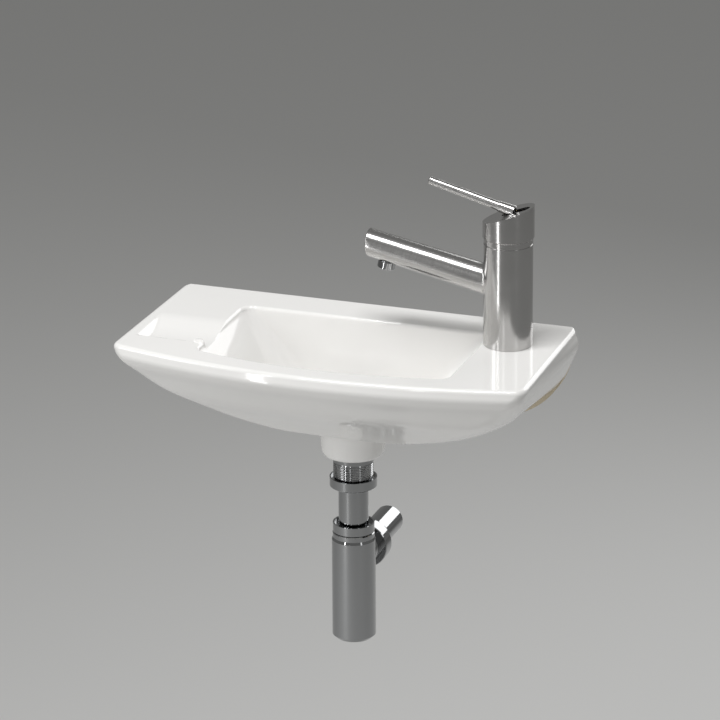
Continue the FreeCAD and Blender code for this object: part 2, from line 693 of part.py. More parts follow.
def bowl_section(body, name, depth, side, rear, front, corner):
    """One level section of the bowl, inset from its opening."""
    left = size("left_deck") - size("rear_width") / 2 + side
    right = size("rear_width") / 2 - size("right_deck") - side
    sketch = new_sketch(body, name, lift=-depth)
    bowed_outline(sketch, left, right, left, right, -(size("rear_ledge") + rear),
                  front + size("front_rim") - size("basin_reach"),
                  size("bowl_bow_radius") - front, corner, corner)
    return sketch


def bowl_edge_section(body, name, depth, inset):
    """A section of the bowl's rolled edge, which follows its opening at an inset."""
    inset = sized(inset)
    return bowl_section(body, name, sized(depth), inset, inset, inset,
                        size("bowl_corner") - inset)


def hollow_sections(body, name, side, edge, deck):
    """Level sections of the hollow under one deck, from the deck to below the skirt."""
    inner = edge + side * size("hollow_edge_gap")
    half = size("rear_width") / 2
    rows = [
        (deck, sized(0), "hollow_outer", "hollow_front_outer", "hollow_front"),
        (size("hollow_mid_depth"), size("hollow_mid_inner"), "hollow_mid_outer",
         "hollow_mid_front_outer", "hollow_mid_front"),
        (size("hollow_low_depth"), size("hollow_low_inner"), "hollow_low_outer",
         "hollow_low_front_outer", "hollow_low_front"),
        (size("hollow_end_depth"), size("hollow_end_inner"), "hollow_end_outer",
         "hollow_end_front_outer", "hollow_end_front"),
    ]
    sketches = []
    rear = -size("flange_thickness")
    small = size("hollow_rear_corner")
    for number, (depth, shift, outer, front_outer, front) in enumerate(rows, start=1):
        sketch = new_sketch(body, "%s_%d" % (name, number), lift=-depth)
        outline(sketch, [
            (inner - side * shift, rear, small),
            (inner - side * shift, -size(front), small),
            (side * (half - size(front_outer)), -size(front), size("hollow_front_corner")),
            (side * (half - size(outer)), rear, small),
        ])
        sketches.append(sketch)
    return sketches


def add_skirt(body):
    """The outer shape: a skin through seven sections, a rolled rim above, flat at the wall."""
    roll = size("rim_roll")
    rolled_in = midway_in(roll)
    sections = [rim_section(body, "rim", roll, 0)]
    for name in ("shoulder", "belly", "bilge", "turn", "keel", "bottom"):
        sections.append(skirt_section(
            body, name, size(name + "_depth"), size("rear_width") / 2 - size(name + "_rear"),
            size("front_width") / 2 - size(name + "_front"),
            size("basin_reach") - size(name + "_bow"), size(name + "_corner")))
    loft(body, "skirt", sections)
    loft(body, "rolled_rim", [rim_section(body, "roll_low", roll, 0),
                              rim_section(body, "roll_middle", rolled_in, rolled_in),
                              rim_section(body, "roll_top", 0, roll)], ruled=True)
    half = size("front_width")
    low = size("bottom_depth") * 2

    def behind(sketch):
        outline(sketch, [(-half, -low), (half, -low), (half, low), (-half, low)])

    prism(body, "cut_at_wall", behind, size("wall_overrun") * 2, plane="XZ_Plane", cut=True)


def add_flange_and_boss(body):
    """The flat flange against the wall and the boss that carries the waste."""
    half = size("flange_half_width")
    top = -size("flange_top_depth")
    bottom = -size("bottom_depth")
    corner = size("flange_corner")

    def flange(sketch):
        outline(sketch, [(-half, top), (-half, bottom, corner), (half, bottom, corner), (half, top)])

    prism(body, "wall_flange", flange, size("flange_thickness"), plane="XZ_Plane")
    top = -(size("bottom_depth") - size("waste_seat_depth"))
    low = -size("boss_depth")
    sketch = new_sketch(body, "boss_profile", "YZ_Plane", shift=(-size("waste_from_wall"), 0))
    narrow = size("boss_radius") - size("boss_taper")
    ease = size("boss_round")
    outline(sketch, [(0, top), (size("boss_radius"), top), (narrow, low + ease),
                     (narrow - midway_in(ease), low + midway_in(ease)), (narrow - ease, low),
                     (0, low)])
    boss = body.newObject("PartDesign::Revolution", "outlet_boss")
    boss.Profile = sketch
    boss.ReferenceAxis = (sketch, ["V_Axis"])
    boss.Angle = 360


def cut_bowl(body):
    """The bowl, a smooth skin from its rolled edge to its floor."""
    roll = size("bowl_edge_roll")
    tucked = size("bowl_edge_in")
    loft(body, "rolled_edge", [bowl_edge_section(body, "edge_top", 0, -size("bowl_edge_out")),
                               bowl_edge_section(body, "edge_middle", midway_in(roll), 0),
                               bowl_edge_section(body, "edge_low", roll, tucked)],
         cut=True, ruled=True)
    sections = [bowl_edge_section(body, "bowl_top", roll, tucked)]
    for name in ("bowl_wall", "bowl_turn", "bowl_floor"):
        sections.append(bowl_section(body, name + "_section", size(name + "_depth"),
                                     size(name + "_side"), size(name + "_rear"),
                                     size(name + "_front"), size(name + "_corner")))
    loft(body, "bowl", sections, cut=True)


def cut_hollows(body):
    """The hollow undersides of both decks, open towards the floor."""
    right = size("rear_width") / 2 - size("right_deck")
    left = size("left_deck") - size("rear_width") / 2
    loft(body, "right_hollow",
         hollow_sections(body, "right_hollow", 1, right, size("deck_thickness")), cut=True,
         ruled=True)
    loft(body, "left_hollow",
         hollow_sections(body, "left_hollow", -1, left, size("soap_deck_thickness")), cut=True,
         ruled=True)


def cut_soap_recess(body):
    """The sloping soap recess on the left deck, which drains into the bowl, and its pip."""
    left = size("recess_margin") - size("rear_width") / 2
    mouth = size("left_deck") - size("rear_width") / 2
    right = mouth + size("recess_overrun")
    rear = -size("recess_rear")
    front = -size("recess_front")
    corner = size("recess_corner")
    top = new_sketch(body, "recess_top")
    outline(top, [(left, rear, corner), (left, front, corner), (right, front), (right, rear)])
    bottom = new_sketch(body, "recess_bottom", lift=-size("recess_depth"))
    low = left + size("recess_side_draft")
    outline(bottom, [(low, rear - size("recess_slope"), corner),
                     (low, front + size("recess_draft"), corner),
                     (right, front + size("recess_draft")),
                     (right, rear - size("recess_slope"))])
    loft(body, "soap_recess", [top, bottom], cut=True)
    pip = new_sketch(body, "pip_profile", "XZ_Plane", lift=-front,
                     shift=(mouth - size("pip_radius") * 2 / 3, 0))
    root = -size("recess_depth") * 1.5
    radius = size("pip_radius")
    height = size("pip_height")
    ease = size("pip_ease")
    outline(pip, [(0, root), (radius, root), *corner_cut(radius, height, (0, -ease), (-ease, 0)),
                  (0, height)])
    feature = body.newObject("PartDesign::Revolution", "pip")
    feature.Profile = pip
    feature.ReferenceAxis = (pip, ["V_Axis"])
    feature.Angle = 360


def fixing_offset():
    """The basin's middle to a wall fixing."""
    return size("rear_width") / 2 - size("fixing_inset")


def cut_openings(body):
    """Tap hole, wall fixings, outlet, the seat for the waste and the recess under the boss."""
    at_waste = (sized(0), -size("waste_from_wall"))
    at_tap = tap_place()[:2]
    floor = size("bowl_floor_depth")

    def hole(radius, place):
        return lambda sketch: circle(sketch, radius, *place)

    prism(body, "tap_hole", hole(size("tap_hole"), at_tap), size("deck_thickness") * 2, cut=True)
    prism(body, "waste_seat", hole(size("waste_seat"), at_waste), size("waste_seat_depth") * 3,
          cut=True, lift=-(floor - size("waste_seat_depth") * 2))
    prism(body, "outlet", hole(size("waste_hole"), at_waste), size("boss_depth"), cut=True,
          lift=-floor)
    prism(body, "boss_recess", hole(size("boss_recess"), at_waste), size("boss_recess_depth"),
          cut=True, back=True, lift=-size("boss_depth"))
    for name, side in (("left_fixing", -1), ("right_fixing", 1)):
        place = (side * fixing_offset(), -size("rim_height"))
        prism(body, name, hole(size("fixing_hole"), place), size("flange_thickness") * 3,
              plane="XZ_Plane", cut=True, centred=True)


def basin_body():
    """The ceramic moulding."""
    body = new_body("basin_body", z=size("rim_height"))
    add_skirt(body)
    add_flange_and_boss(body)
    cut_bowl(body)
    cut_hollows(body)
    cut_soap_recess(body)
    cut_openings(body)


def fixing_bush(label, side):
    """Nylon bush that keeps a wall bolt off the ceramic."""
    body = new_body(label, x=side * fixing_offset())
    inner = size("bush_bore")
    outer = size("fixing_hole") - size("bush_gap")
    depth = -size("flange_thickness")
    face = depth - size("bush_flange_thickness")
    turned(body, "bush", [(0, inner), (0, outer), (depth, outer), (depth, size("bush_flange")),
                          (face, size("bush_flange")), (face, inner)], upright=False)


# ---------------------------------------------------------------------------------------------
# Waste
# ---------------------------------------------------------------------------------------------
def waste_piece(label):
    """A body on the waste's axis, with the rim's level as its zero."""
    return new_body(label, y=-size("waste_from_wall"), z=size("rim_height"))


def flange_bottom():
    """Underside of the waste's flange, measured up from the rim."""
    return -(size("bowl_floor_depth") + size("waste_flange_thickness"))


def nut_seat():
    """Underside of the rubber washer below the boss."""
    return -(size("boss_depth") - size("boss_recess_depth") + size("rubber_thickness"))


def waste_body():
    """Flange and threaded tail of the waste."""
    body = waste_piece("waste_body")
    top = -size("bowl_floor_depth")
    ledge = top - size("grid_thickness")
    low = flange_bottom()
    end = -size("tail_depth")
    bore = size("tail_bore")
    tail = size("tail_radius")
    grid = size("grid_radius")
    rim = size("waste_flange")
    ease = size("edge_break")
    turned(body, "waste", [(bore, end), (tail, end), (tail, low), (rim, low),
                           *corner_cut(rim, top, (0, -ease), (-ease, 0)), (grid, top),
                           (grid, ledge), (bore, ledge)])


def waste_grid():
    """Strainer plate let into the flange."""
    body = waste_piece("waste_grid")
    thickness = size("grid_thickness")
    low = -size("bowl_floor_depth") - thickness
    prism(body, "plate", lambda sketch: circle(sketch, size("grid_radius") - size("fit_gap")),
          thickness, lift=low)
    prism(body, "middle_hole", lambda sketch: circle(sketch, size("grid_hole")), thickness,
          cut=True, back=True, lift=low)
    ring = prism(body, "ring_hole",
                 lambda sketch: circle(sketch, size("grid_hole"), size("grid_ring")),
                 thickness, cut=True, back=True, lift=low)
    around(body, "ring_of_holes", ring, size("grid_holes"), ring.Profile[0])


def ring_between(label, inner, outer, top, bottom, piece=waste_piece):
    """A plain ring: a seal, a washer or a collar."""
    body = piece(label)
    turned(body, "ring", [(inner, bottom), (outer, bottom), (outer, top), (inner, top)])


def waste_seals():
    """Seal under the flange and rubber washer under the boss."""
    seat = -(size("bowl_floor_depth") + size("waste_seat_depth"))
    ring_between("waste_seal", size("waste_hole") + size("seal_inset"),
                 size("waste_flange") - size("seal_inset"), flange_bottom(), seat)
    ring_between("waste_washer", size("tail_radius") + size("slip_gap"),
                 size("boss_recess") - size("seal_inset"), nut_seat() + size("rubber_thickness"), nut_seat())


def waste_back_nut():
    """Flanged nut that pulls the waste tight."""
    body = waste_piece("waste_back_nut")
    top = nut_seat()
    step = top - size("back_nut_flange")
    end = top - size("back_nut_height")
    bore = size("tail_radius")
    flange = size("back_nut_radius")
    hub = size("back_nut_hub")
    turned(body, "nut", [(bore, top), (flange, top), (flange, step), (hub, step), (hub, end),
                         (bore, end)])


# ---------------------------------------------------------------------------------------------
# Bottle trap
# ---------------------------------------------------------------------------------------------
def tube_seat():
    """Top of the union nut's floor, on which the tube's collar lies."""
    return -(size("union_depth") + size("union_height") - size("union_floor"))


def trap_union_nut():
    """Nut that joins the trap to the tail of the waste."""
    body = waste_piece("trap_union_nut")
    top = -size("union_depth")
    cup = top - size("union_cup")
    end = top - size("union_height")
    outer = size("union_radius")
    mouth = outer - size("union_lip")
    thread = size("tail_radius")
    bore = size("tube_radius") + size("slip_gap")
    ease = size("edge_break")
    turned(body, "nut", [(mouth, top), (outer, top),
                         *corner_cut(outer, end, (0, ease), (-ease, 0)), (bore, end),
                         (bore, tube_seat()), (thread, tube_seat()), (thread, cup),
                         (mouth, cup)])


def trap_inlet_tube():
    """Collared tube that reaches down into the bottle."""
    body = waste_piece("trap_inlet_tube")
    seat = tube_seat()
    top = seat + size("seal_thickness")
    outer = size("tube_radius")
    inner = outer - size("tube_wall")
    collar = size("tube_collar")
    end = -size("tube_depth")
    turned(body, "tube", [(inner, top), (collar, top), (collar, seat), (outer, seat),
                          (outer, end), (inner, end)])
    ring_between("trap_union_seal", size("tail_bore") - size("seal_inset"),
                 size("tail_radius") - size("seal_inset"), top + size("seal_thickness"), top)


def neck_top():
    """Top of the bottle's neck: the slip nut's web and the seal lie above it."""
    web = size("top_nut_depth") + size("top_nut_cup") + size("top_nut_web")
    return -(web + size("seal_thickness"))


def trap_top_nut():
    """Slip nut on the neck of the bottle, with its seal."""
    body = waste_piece("trap_top_nut")
    top = -size("top_nut_depth")
    cup = top - size("top_nut_cup")
    web = cup - size("top_nut_web")
    end = top - size("top_nut_height")
    outer = size("top_nut_radius")
    mouth = outer - size("top_nut_lip")
    bore = size("tube_radius") + size("slip_gap")
    neck = size("neck_radius")
    ease = size("edge_break")
    turned(body, "nut", [(mouth, top), (outer, top),
                         *corner_cut(outer, end, (0, ease), (-ease, 0)), (neck, end),
                         (neck, web), (bore, web), (bore, cup), (mouth, cup)])
    ring_between("trap_top_seal", size("tube_radius") + size("pin_gap"), neck - size("fit_gap"),
                 web, neck_top())


def trap_body():
    """Bottle with its neck above, its outlet stub at the back and its open bottom."""
    body = waste_piece("trap_body")
    top = neck_top()
    under_nut = -(size("top_nut_depth") + size("top_nut_height") + size("slip_gap"))
    collar = -size("collar_depth")
    bottom = -size("trap_depth")
    outer = size("trap_radius")
    chamfer = size("trap_chamfer")
    bead = size("collar_radius")
    neck = size("neck_radius")
    ease = size("edge_break")
    turned(body, "bottle", [(0, top), (neck, top), (neck, under_nut),
                            *corner_cut(bead, under_nut, (-ease, 0), (0, -ease)),
                            (bead, collar), (outer, collar - size("shoulder_drop")),
                            (outer, bottom + chamfer), (outer - chamfer, bottom), (0, bottom)])
    level = (0, -size("outlet_depth"))
    reach = size("stub_reach")
    stub = size("stub_radius")
    turned(body, "stub", [(0, 0), (0, stub), (reach, stub), (reach, 0)], upright=False,
           shift=level)
    inner = outer - size("trap_wall")
    roof = collar - size("shoulder_drop") - size("trap_wall")
    floor = bottom + size("plug_height")
    plug = size("plug_radius")
    bore = size("neck_bore")
    turned(body, "inside", [(0, top), (bore, top), (bore, roof), (inner, roof), (inner, floor),
                            (plug, floor), (plug, bottom), (0, bottom)], cut=True)
    way = size("outlet_radius") + size("slip_gap") * 2
    turned(body, "outlet_way", [(0, 0), (0, way), (reach, way), (reach, 0)], cut=True,
           upright=False, shift=level)


def trap_plug():
    """Screwed plug through which the bottle is cleaned, and its ring seal."""
    body = waste_piece("trap_plug")
    bottom = -size("trap_depth")
    top = bottom + size("plug_height")
    outer = size("plug_radius") - size("fit_gap")
    groove = outer - size("plug_seal_height") * 0.8
    high = top - size("plug_seal_height")
    low = high - size("plug_seal_height")
    turned(body, "plug", [(0, bottom), (outer, bottom), (outer, low), (groove, low),
                          (groove, high), (outer, high), (outer, top), (0, top)])
    width = size("plug_slot") / 2
    reach = size("plug_radius") * 2 / 3

    def slot(sketch):
        outline(sketch, [(-reach, -width), (reach, -width), (reach, width), (-reach, width)])

    prism(body, "coin_slot", slot, size("plug_slot"), cut=True, back=True, lift=bottom)
    ring_between("trap_plug_seal", groove, outer, high, low)


def trap_outlet():
    """Outlet nut, its seal and the pipe that enters the wall."""
    level = (0, -size("outlet_depth"))
    start = size("outlet_nut_start")
    end = start + size("outlet_nut_length")
    seal = size("stub_reach")
    lip = seal + size("seal_thickness") * 2
    thread = size("stub_radius")
    bore = size("outlet_radius") + size("slip_gap")
    outer = size("outlet_nut_radius")
    nut = waste_piece("trap_outlet_nut")
    ease = size("edge_break")
    curve = size("outlet_nut_shoulder")
    turned(nut, "nut", [(start, thread), *corner_cut(start, outer, (0, -ease), (ease, 0)),
                        (end - curve, outer), (end - midway_in(curve), outer - midway_in(curve)),
                        (end, outer - curve), (end, bore), (lip, bore), (lip, thread)],
           upright=False, shift=level)
    ring = waste_piece("trap_outlet_seal")
    inner = size("outlet_radius") - size("outlet_sizing")
    rim = thread - size("fit_gap")
    turned(ring, "ring", [(seal, inner), (seal, rim), (lip, rim), (lip, inner)], upright=False,
           shift=level)
    pipe = waste_piece("trap_outlet_pipe")
    near = size("outlet_start")
    far = size("waste_from_wall") + size("wall_reach")
    radius = size("outlet_radius")
    hollow = radius - size("outlet_wall")
    sized_down = radius - size("outlet_sizing")
    step = end + size("slip_gap")
    turned(pipe, "pipe", [(near, hollow), (near, sized_down), (step, sized_down),
                          (step, radius), (far, radius), (far, hollow)],
           upright=False, shift=level)


# ---------------------------------------------------------------------------------------------
# Tap
# ---------------------------------------------------------------------------------------------
def tap_place():
    """Where the tap's axis meets the deck."""
    x = size("rear_width") / 2 - size("right_deck") + size("tap_bowl_gap") + size("tap_radius")
    return (x, -size("tap_from_wall"), size("rim_height"))


def tap_piece(label):
    """A body on the tap's axis with the deck as its zero."""
    return new_body(label, *tap_place())


def spout_turn():
    """Turn of an upright sketch that lays its axis along the spout."""
    return 90 - size("spout_tilt")


def tap_body():
    """The column, with its fine groove, the neck under the cap and the hole to the spout."""
    body = tap_piece("tap_body")
    outer = size("tap_radius")
    inner = outer - size("tap_wall")
    foot = size("tap_foot_gap")
    top = size("tap_height")
    crown = top + size("tap_neck_height")
    low = size("groove_height") - size("groove_width") / 2
    high = low + size("groove_width")
    deep = outer - size("groove_cut")
    neck = size("tap_neck")
    ease = size("edge_break")
    turned(body, "column", [(inner, foot), (outer, foot), (outer, low), (deep, low),
                            (deep, high), (outer, high),
                            *corner_cut(outer, top, (0, -ease), (-ease, 0)), (neck, top),
                            (neck, crown), (inner, crown)])
    port = size("spout_port")
    reach = outer * 1.5
    turned(body, "spout_hole", [(0, 0), (port, 0), (port, reach), (0, reach)], cut=True,
           turn=spout_turn(), shift=(0, size("spout_height")))


def tap_spout():
    """Tapering spout with a closed end, saddled on the column, and the aerator's socket."""
    body = tap_piece("tap_spout")
    start = size("spout_start")
    end = size("spout_length")
    root = size("spout_root")
    tip = size("spout_tip")
    wall = size("spout_wall")
    inside = end - size("spout_end")
    at_root = (0, size("spout_height"))
    ease = size("edge_break")
    turned(body, "skin", [(root - wall, start), (root, start),
                          *corner_cut(tip, end, (0, -ease), (-ease, 0)), (0, end),
                          (0, inside), (tip - wall, inside)], turn=spout_turn(), shift=at_root)
    seat = -size("aerator_seat")
    socket = size("socket_radius")
    hole = size("aerator_thread") + size("aerator_gap")
    top = -size("socket_top")
    place = aerator_place()
    tilt = -size("spout_tilt")
    turned(body, "spot_face", [(0, top), (socket, top), (socket, seat * 1.5), (0, seat * 1.5)],
           cut=True, turn=tilt, shift=place)
    turned(body, "socket", [(hole, top), (socket, top), (socket, seat), (hole, seat)],
           turn=tilt, shift=place)
    prism(body, "saddle", lambda sketch: circle(sketch, size("tap_radius")),
          size("spout_height") * 2, cut=True, centred=True, lift=size("spout_height"))


def aerator_place():
    """Point of the spout's axis above the aerator, in the tap's upright plane."""
    along = size("spout_length") - size("aerator_from_end")
    tilt = size("spout_tilt")
    return (-along * cosine(tilt), size("spout_height") + along * sine(tilt))


def aerator():
    """Housing, insert and washer under the end of the spout."""
    tilt = -size("spout_tilt")
    place = aerator_place()
    seat = -size("aerator_seat")
    face = -size("aerator_drop")
    thread_top = seat + size("aerator_thread_length")
    outer = size("aerator_radius")
    thread = size("aerator_thread")
    bore = size("aerator_bore")
    mouth = size("aerator_mouth")
    lip = face + size("aerator_lip")
    housing = tap_piece("aerator_housing")
    ease = size("edge_break")
    turned(housing, "housing", [(bore, thread_top), (thread, thread_top), (thread, seat),
                                (outer, seat),
                                *corner_cut(outer, face, (0, ease), (-ease, 0)), (mouth, face),
                                (mouth, lip), (bore, lip)], turn=tilt, shift=place)
    insert = tap_piece("aerator_insert")
    edge = bore - size("aerator_gap")
    top = -size("insert_top")
    core = size("insert_hole")
    ring = size("insert_ring")
    turned(insert, "insert", [(core, lip), (ring - core, lip), (ring - core, lip + core),
                              (ring + core, lip + core), (ring + core, lip), (edge, lip),
                              (edge, top), (core, top)], turn=tilt, shift=place)
    washer = tap_piece("aerator_washer")
    rim = thread - size("aerator_gap")
    high = thread_top + size("washer_thickness")
    turned(washer, "washer", [(size("washer_bore"), thread_top), (rim, thread_top), (rim, high),
                              (size("washer_bore"), high)], turn=tilt, shift=place)


def ports(sketch):
    """The two supply ways and the mixed way, which pass through the cartridge's plates."""
    circle(sketch, size("port_radius"), size("inlet_x"), size("inlet_y"))
    circle(sketch, size("port_radius"), size("inlet_x"), -size("inlet_y"))
    circle(sketch, size("mixed_radius"), -size("mixed_x"))


def valve_body():
    """Brass core: inlets and stud hole below, cartridge seat above, port to the spout."""
    body = tap_piece("valve_body")
    outer = size("tap_radius") - size("tap_wall") - size("core_gap")
    bottom = size("core_bottom")
    top = size("core_top")
    seat = size("seat_depth")
    shoulder = size("cartridge_shoulder")
    bore = size("cartridge_radius") + size("cartridge_gap")
    wide = size("ring_nut_radius") + size("cartridge_gap")
    turned(body, "core", [(0, bottom), (outer, bottom), (outer, top), (wide, top),
                          (wide, shoulder), (bore, shoulder), (bore, seat), (0, seat)])
    level = size("spout_height") + outer * tangent(size("spout_tilt"))

    def inlets(sketch):
        circle(sketch, size("inlet_radius"), size("inlet_x"), size("inlet_y"))
        circle(sketch, size("inlet_radius"), size("inlet_x"), -size("inlet_y"))

    def ways(sketch):
        circle(sketch, size("port_radius"), size("inlet_x"), size("inlet_y"))
        circle(sketch, size("port_radius"), size("inlet_x"), -size("inlet_y"))

    prism(body, "inlets", inlets, size("inlet_length"), cut=True, back=True, lift=bottom)
    prism(body, "supply_ways", ways, seat - bottom, cut=True, lift=seat)
    prism(body, "mixed_way", lambda sketch: circle(sketch, size("mixed_radius"),
                                                   -size("mixed_x")),
          seat - level, cut=True, lift=seat)
    port = size("outlet_port")
    prism(body, "outlet_port", lambda sketch: circle(sketch, port, 0, level),
          outer - size("mixed_x") + size("mixed_radius"), plane="YZ_Plane", cut=True,
          back=True, lift=-outer)
    prism(body, "stud_hole", lambda sketch: circle(sketch, size("stud_radius"),
                                                   -size("stud_x")),
          size("stud_engagement"), cut=True, back=True, lift=bottom)


def tap_foot():
    """Centring ring and seal under the column."""
    ring = tap_piece("tap_base_ring")
    outer = size("tap_radius") - size("tap_wall") - size("stud_gap")
    spigot = size("tap_hole") - size("spigot_gap")
    bore = size("base_bore")
    seal = size("base_seal_thickness")
    top = seal + size("base_flange")
    low = -size("spigot_length")
    turned(ring, "ring", [(bore, low), (spigot, low), (spigot, seal), (outer, seal),
                          (outer, top), (bore, top)])
    ring_between("tap_base_seal", size("tap_hole") + size("seal_inset"), outer, seal, 0, piece=tap_piece)


def horseshoe(label, top, thickness):
    """Plate round the hoses, open towards the right, with a hole for the stud."""
    body = tap_piece(label)
    radius = size("clamp_radius")
    half = size("clamp_slot")
    corner = size("clamp_corner")
    prism(body, "plate", lambda sketch: circle(sketch, radius), thickness, back=True, lift=top)

    def opening(sketch):
        left = -size("clamp_slot_end")
        outline(sketch, [(left, -half, corner), (radius * 1.1, -half), (radius * 1.1, half),
                         (left, half, corner)])

    prism(body, "opening", opening, thickness, cut=True, lift=top)
    prism(body, "stud_way", lambda sketch: circle(sketch, size("stud_radius") + size("stud_gap"),
                                                  -size("stud_x")), thickness, cut=True,
          lift=top)


def clamp():
    """Gasket, plate, stud and nut that hold the tap down on the deck."""
    under = -size("deck_thickness")
    plate = under - size("gasket_thickness")
    seat = plate - size("plate_thickness")
    horseshoe("deck_gasket", under, size("gasket_thickness"))
    horseshoe("clamp_plate", plate, size("plate_thickness"))
    stud = tap_piece("clamp_stud")
    low = seat - size("stud_tail")
    top = size("core_bottom") + size("stud_engagement")
    prism(stud, "stud", lambda sketch: circle(sketch, size("stud_radius"), -size("stud_x")),
          top - low, lift=low)
    nut = tap_piece("clamp_nut")
    corner = size("nut_flats") / 2 / cosine(sized(30))

    def hexagon(sketch):
        points = []
        for step in range(6):
            angle = sized(30 + 60 * step)
            points.append((corner * cosine(angle) - size("stud_x"), corner * sine(angle)))
        outline(sketch, points)
        circle(sketch, size("stud_radius"), -size("stud_x"))

    prism(nut, "nut", hexagon, size("nut_height"), back=True, lift=seat)


# ---------------------------------------------------------------------------------------------
# Cartridge
# ---------------------------------------------------------------------------------------------
def plate_with_ports(label, radius, bottom, thickness):
    """Round plate with the three water ways through it."""
    body = tap_piece(label)
    prism(body, "plate", lambda sketch: circle(sketch, radius), thickness, lift=bottom)
    prism(body, "ports", ports, thickness, cut=True, back=True, lift=bottom)


def cartridge_housing():
    """Housing that holds the discs below and the rotor above."""
    body = tap_piece("cartridge_housing")
    low = size("seat_depth") + size("seal_plate")
    floor = low + size("cartridge_floor")
    shoulder = size("cartridge_shoulder")
    top = size("cartridge_top")
    roof = top - size("cartridge_roof")
    outer = size("cartridge_radius")
    collar = size("cartridge_collar")
    room = size("chamber_radius")
    mouth = size("rotor_neck") + size("rotor_gap")
    turned(body, "housing", [(0, low), (outer, low), (outer, shoulder), (collar, shoulder),
                             (collar, top), (mouth, top), (mouth, roof), (room, roof),
                             (room, floor), (0, floor)])
    prism(body, "ports", ports, size("cartridge_floor"), cut=True, back=True, lift=low)
    plate_with_ports("cartridge_seal", outer - size("cartridge_gap"), size("seat_depth"),
                     size("seal_plate"))
    plate_with_ports("fixed_disc", room - size("disc_gap"), floor, size("fixed_disc_height"))


def sliding_offset():
    """Sliding disc's rest place: half its stroke behind the axis."""
    return size("foot_drop") * sine(size("lift_angle")) / 2


def sliding_bottom():
    """Underside of the moving disc."""
    fixed = size("seat_depth") + size("seal_plate") + size("cartridge_floor")
    return fixed + size("fixed_disc_height") + size("disc_film")


def moving_disc():
    """Ceramic disc that slides over the fixed one, and the carrier the spindle moves."""
    disc = tap_piece("moving_disc")
    low = sliding_bottom()
    middle = low + size("moving_disc_height")
    offset = sliding_offset()
    radius = size("sliding_radius")
    prism(disc, "disc", lambda sketch: circle(sketch, radius, offset),
          size("moving_disc_height"), lift=low)
    prism(disc, "mixing_pocket", lambda sketch: circle(sketch, radius / 2, offset),
          size("moving_disc_height") / 2, cut=True, back=True, lift=low)
    carrier = tap_piece("disc_carrier")
    height = size("carrier_height")
    prism(carrier, "carrier", lambda sketch: circle(sketch, radius, offset), height, lift=middle)
    across = size("carrier_pocket")
    along = size("spindle_side") / 2 + size("spindle_gap")
    floor = size("pivot_height") - size("foot_drop") - size("foot_radius") - size("spindle_gap")

    def pocket(sketch):
        outline(sketch, [(-across, -along), (across, -along), (across, along), (-across, along)])

    prism(carrier, "pocket", pocket, middle + height - floor, cut=True, lift=middle + height)


def cartridge_rotor():
    """Rotor that turns with the cap, slotted so that the spindle can rock, and its pin."""
    body = tap_piece("cartridge_rotor")
    low = size("rotor_bottom")
    top = size("rotor_top")
    wide = size("chamber_radius") - size("rotor_gap")
    neck = size("rotor_neck")
    step = size("cartridge_top") - size("cartridge_roof") - size("rotor_gap")
    turned(body, "rotor", [(0, low), (wide, low), (wide, step), (neck, step), (neck, top),
                           (0, top)])
    pivot = size("pivot_height")
    lift = size("lift_angle")
    gap = size("spindle_gap")
    half = size("spindle_side") / 2
    near = half / cosine(lift) + gap
    above = near + (top - pivot) * tangent(lift)
    below = near + (pivot - low) * tangent(lift)

    def upper(sketch):
        outline(sketch, [(-near, -half - gap), (above, -half - gap), (above, half + gap),
                         (-near, half + gap)])

    def lower(sketch):
        outline(sketch, [(-below, -half - gap), (near, -half - gap), (near, half + gap),
                         (-below, half + gap)])

    prism(body, "upper_slot", upper, top - pivot, cut=True, lift=top)
    prism(body, "lower_slot", lower, pivot - low, cut=True, lift=pivot)
    across = lambda sketch: circle(sketch, size("pin_radius"), 0, pivot)
    prism(body, "pin_hole", across, size("pin_length"), plane="XZ_Plane", cut=True, centred=True)
    pivot_pin = tap_piece("pivot_pin")
    prism(pivot_pin, "pin", across, size("pin_length"), plane="XZ_Plane", centred=True)


def lever_spindle():
    """Square spindle: a foot in the carrier, a hole for the pin and a tenon in the lever."""
    body = tap_piece("lever_spindle")
    bottom = size("bar_bottom")
    pivot = size("pivot_height")
    foot = pivot - size("foot_drop")
    half = size("spindle_side") / 2
    tenon = size("tenon_side") / 2
    slim = size("foot_neck") / 2

    def square(width, depth):
        return lambda sketch: outline(sketch, [(-width, -depth), (width, -depth), (width, depth),
                                               (-width, depth)])

    prism(body, "bar", square(half, half), size("bar_top") - bottom, lift=bottom)
    prism(body, "tenon", square(tenon, tenon), size("tenon_top") - size("bar_top"),
          lift=size("bar_top"))
    prism(body, "foot_neck", square(slim, half), bottom - foot, back=True, lift=bottom)
    prism(body, "foot", lambda sketch: circle(sketch, size("foot_radius"), 0, foot),
          size("spindle_side"), plane="XZ_Plane", centred=True)
    prism(body, "pin_way", lambda sketch: circle(sketch, size("pin_radius") + size("pin_gap"),
                                                 0, pivot),
          size("spindle_side") * 2, plane="XZ_Plane", cut=True, centred=True)


def cartridge_nut():
    """Slotted ring nut that presses the cartridge on its seal."""
    body = tap_piece("cartridge_nut")
    low = size("cartridge_shoulder")
    height = size("ring_nut_height")
    inner = size("cartridge_collar") + size("cartridge_gap")
    outer = size("ring_nut_radius")
    turned(body, "nut", [(inner, low), (outer, low), (outer, low + height),
                         (inner, low + height)])
    half = size("ring_nut_slot") / 2

    def slot(sketch):
        outline(sketch, [(inner * 0.9, -half), (outer * 1.1, -half), (outer * 1.1, half),
                         (inner * 0.9, half)])

    notch = prism(body, "slot", slot, height / 3, cut=True, lift=low + height)
    around(body, "slots", notch, size("ring_nut_slots"), notch.Profile[0])


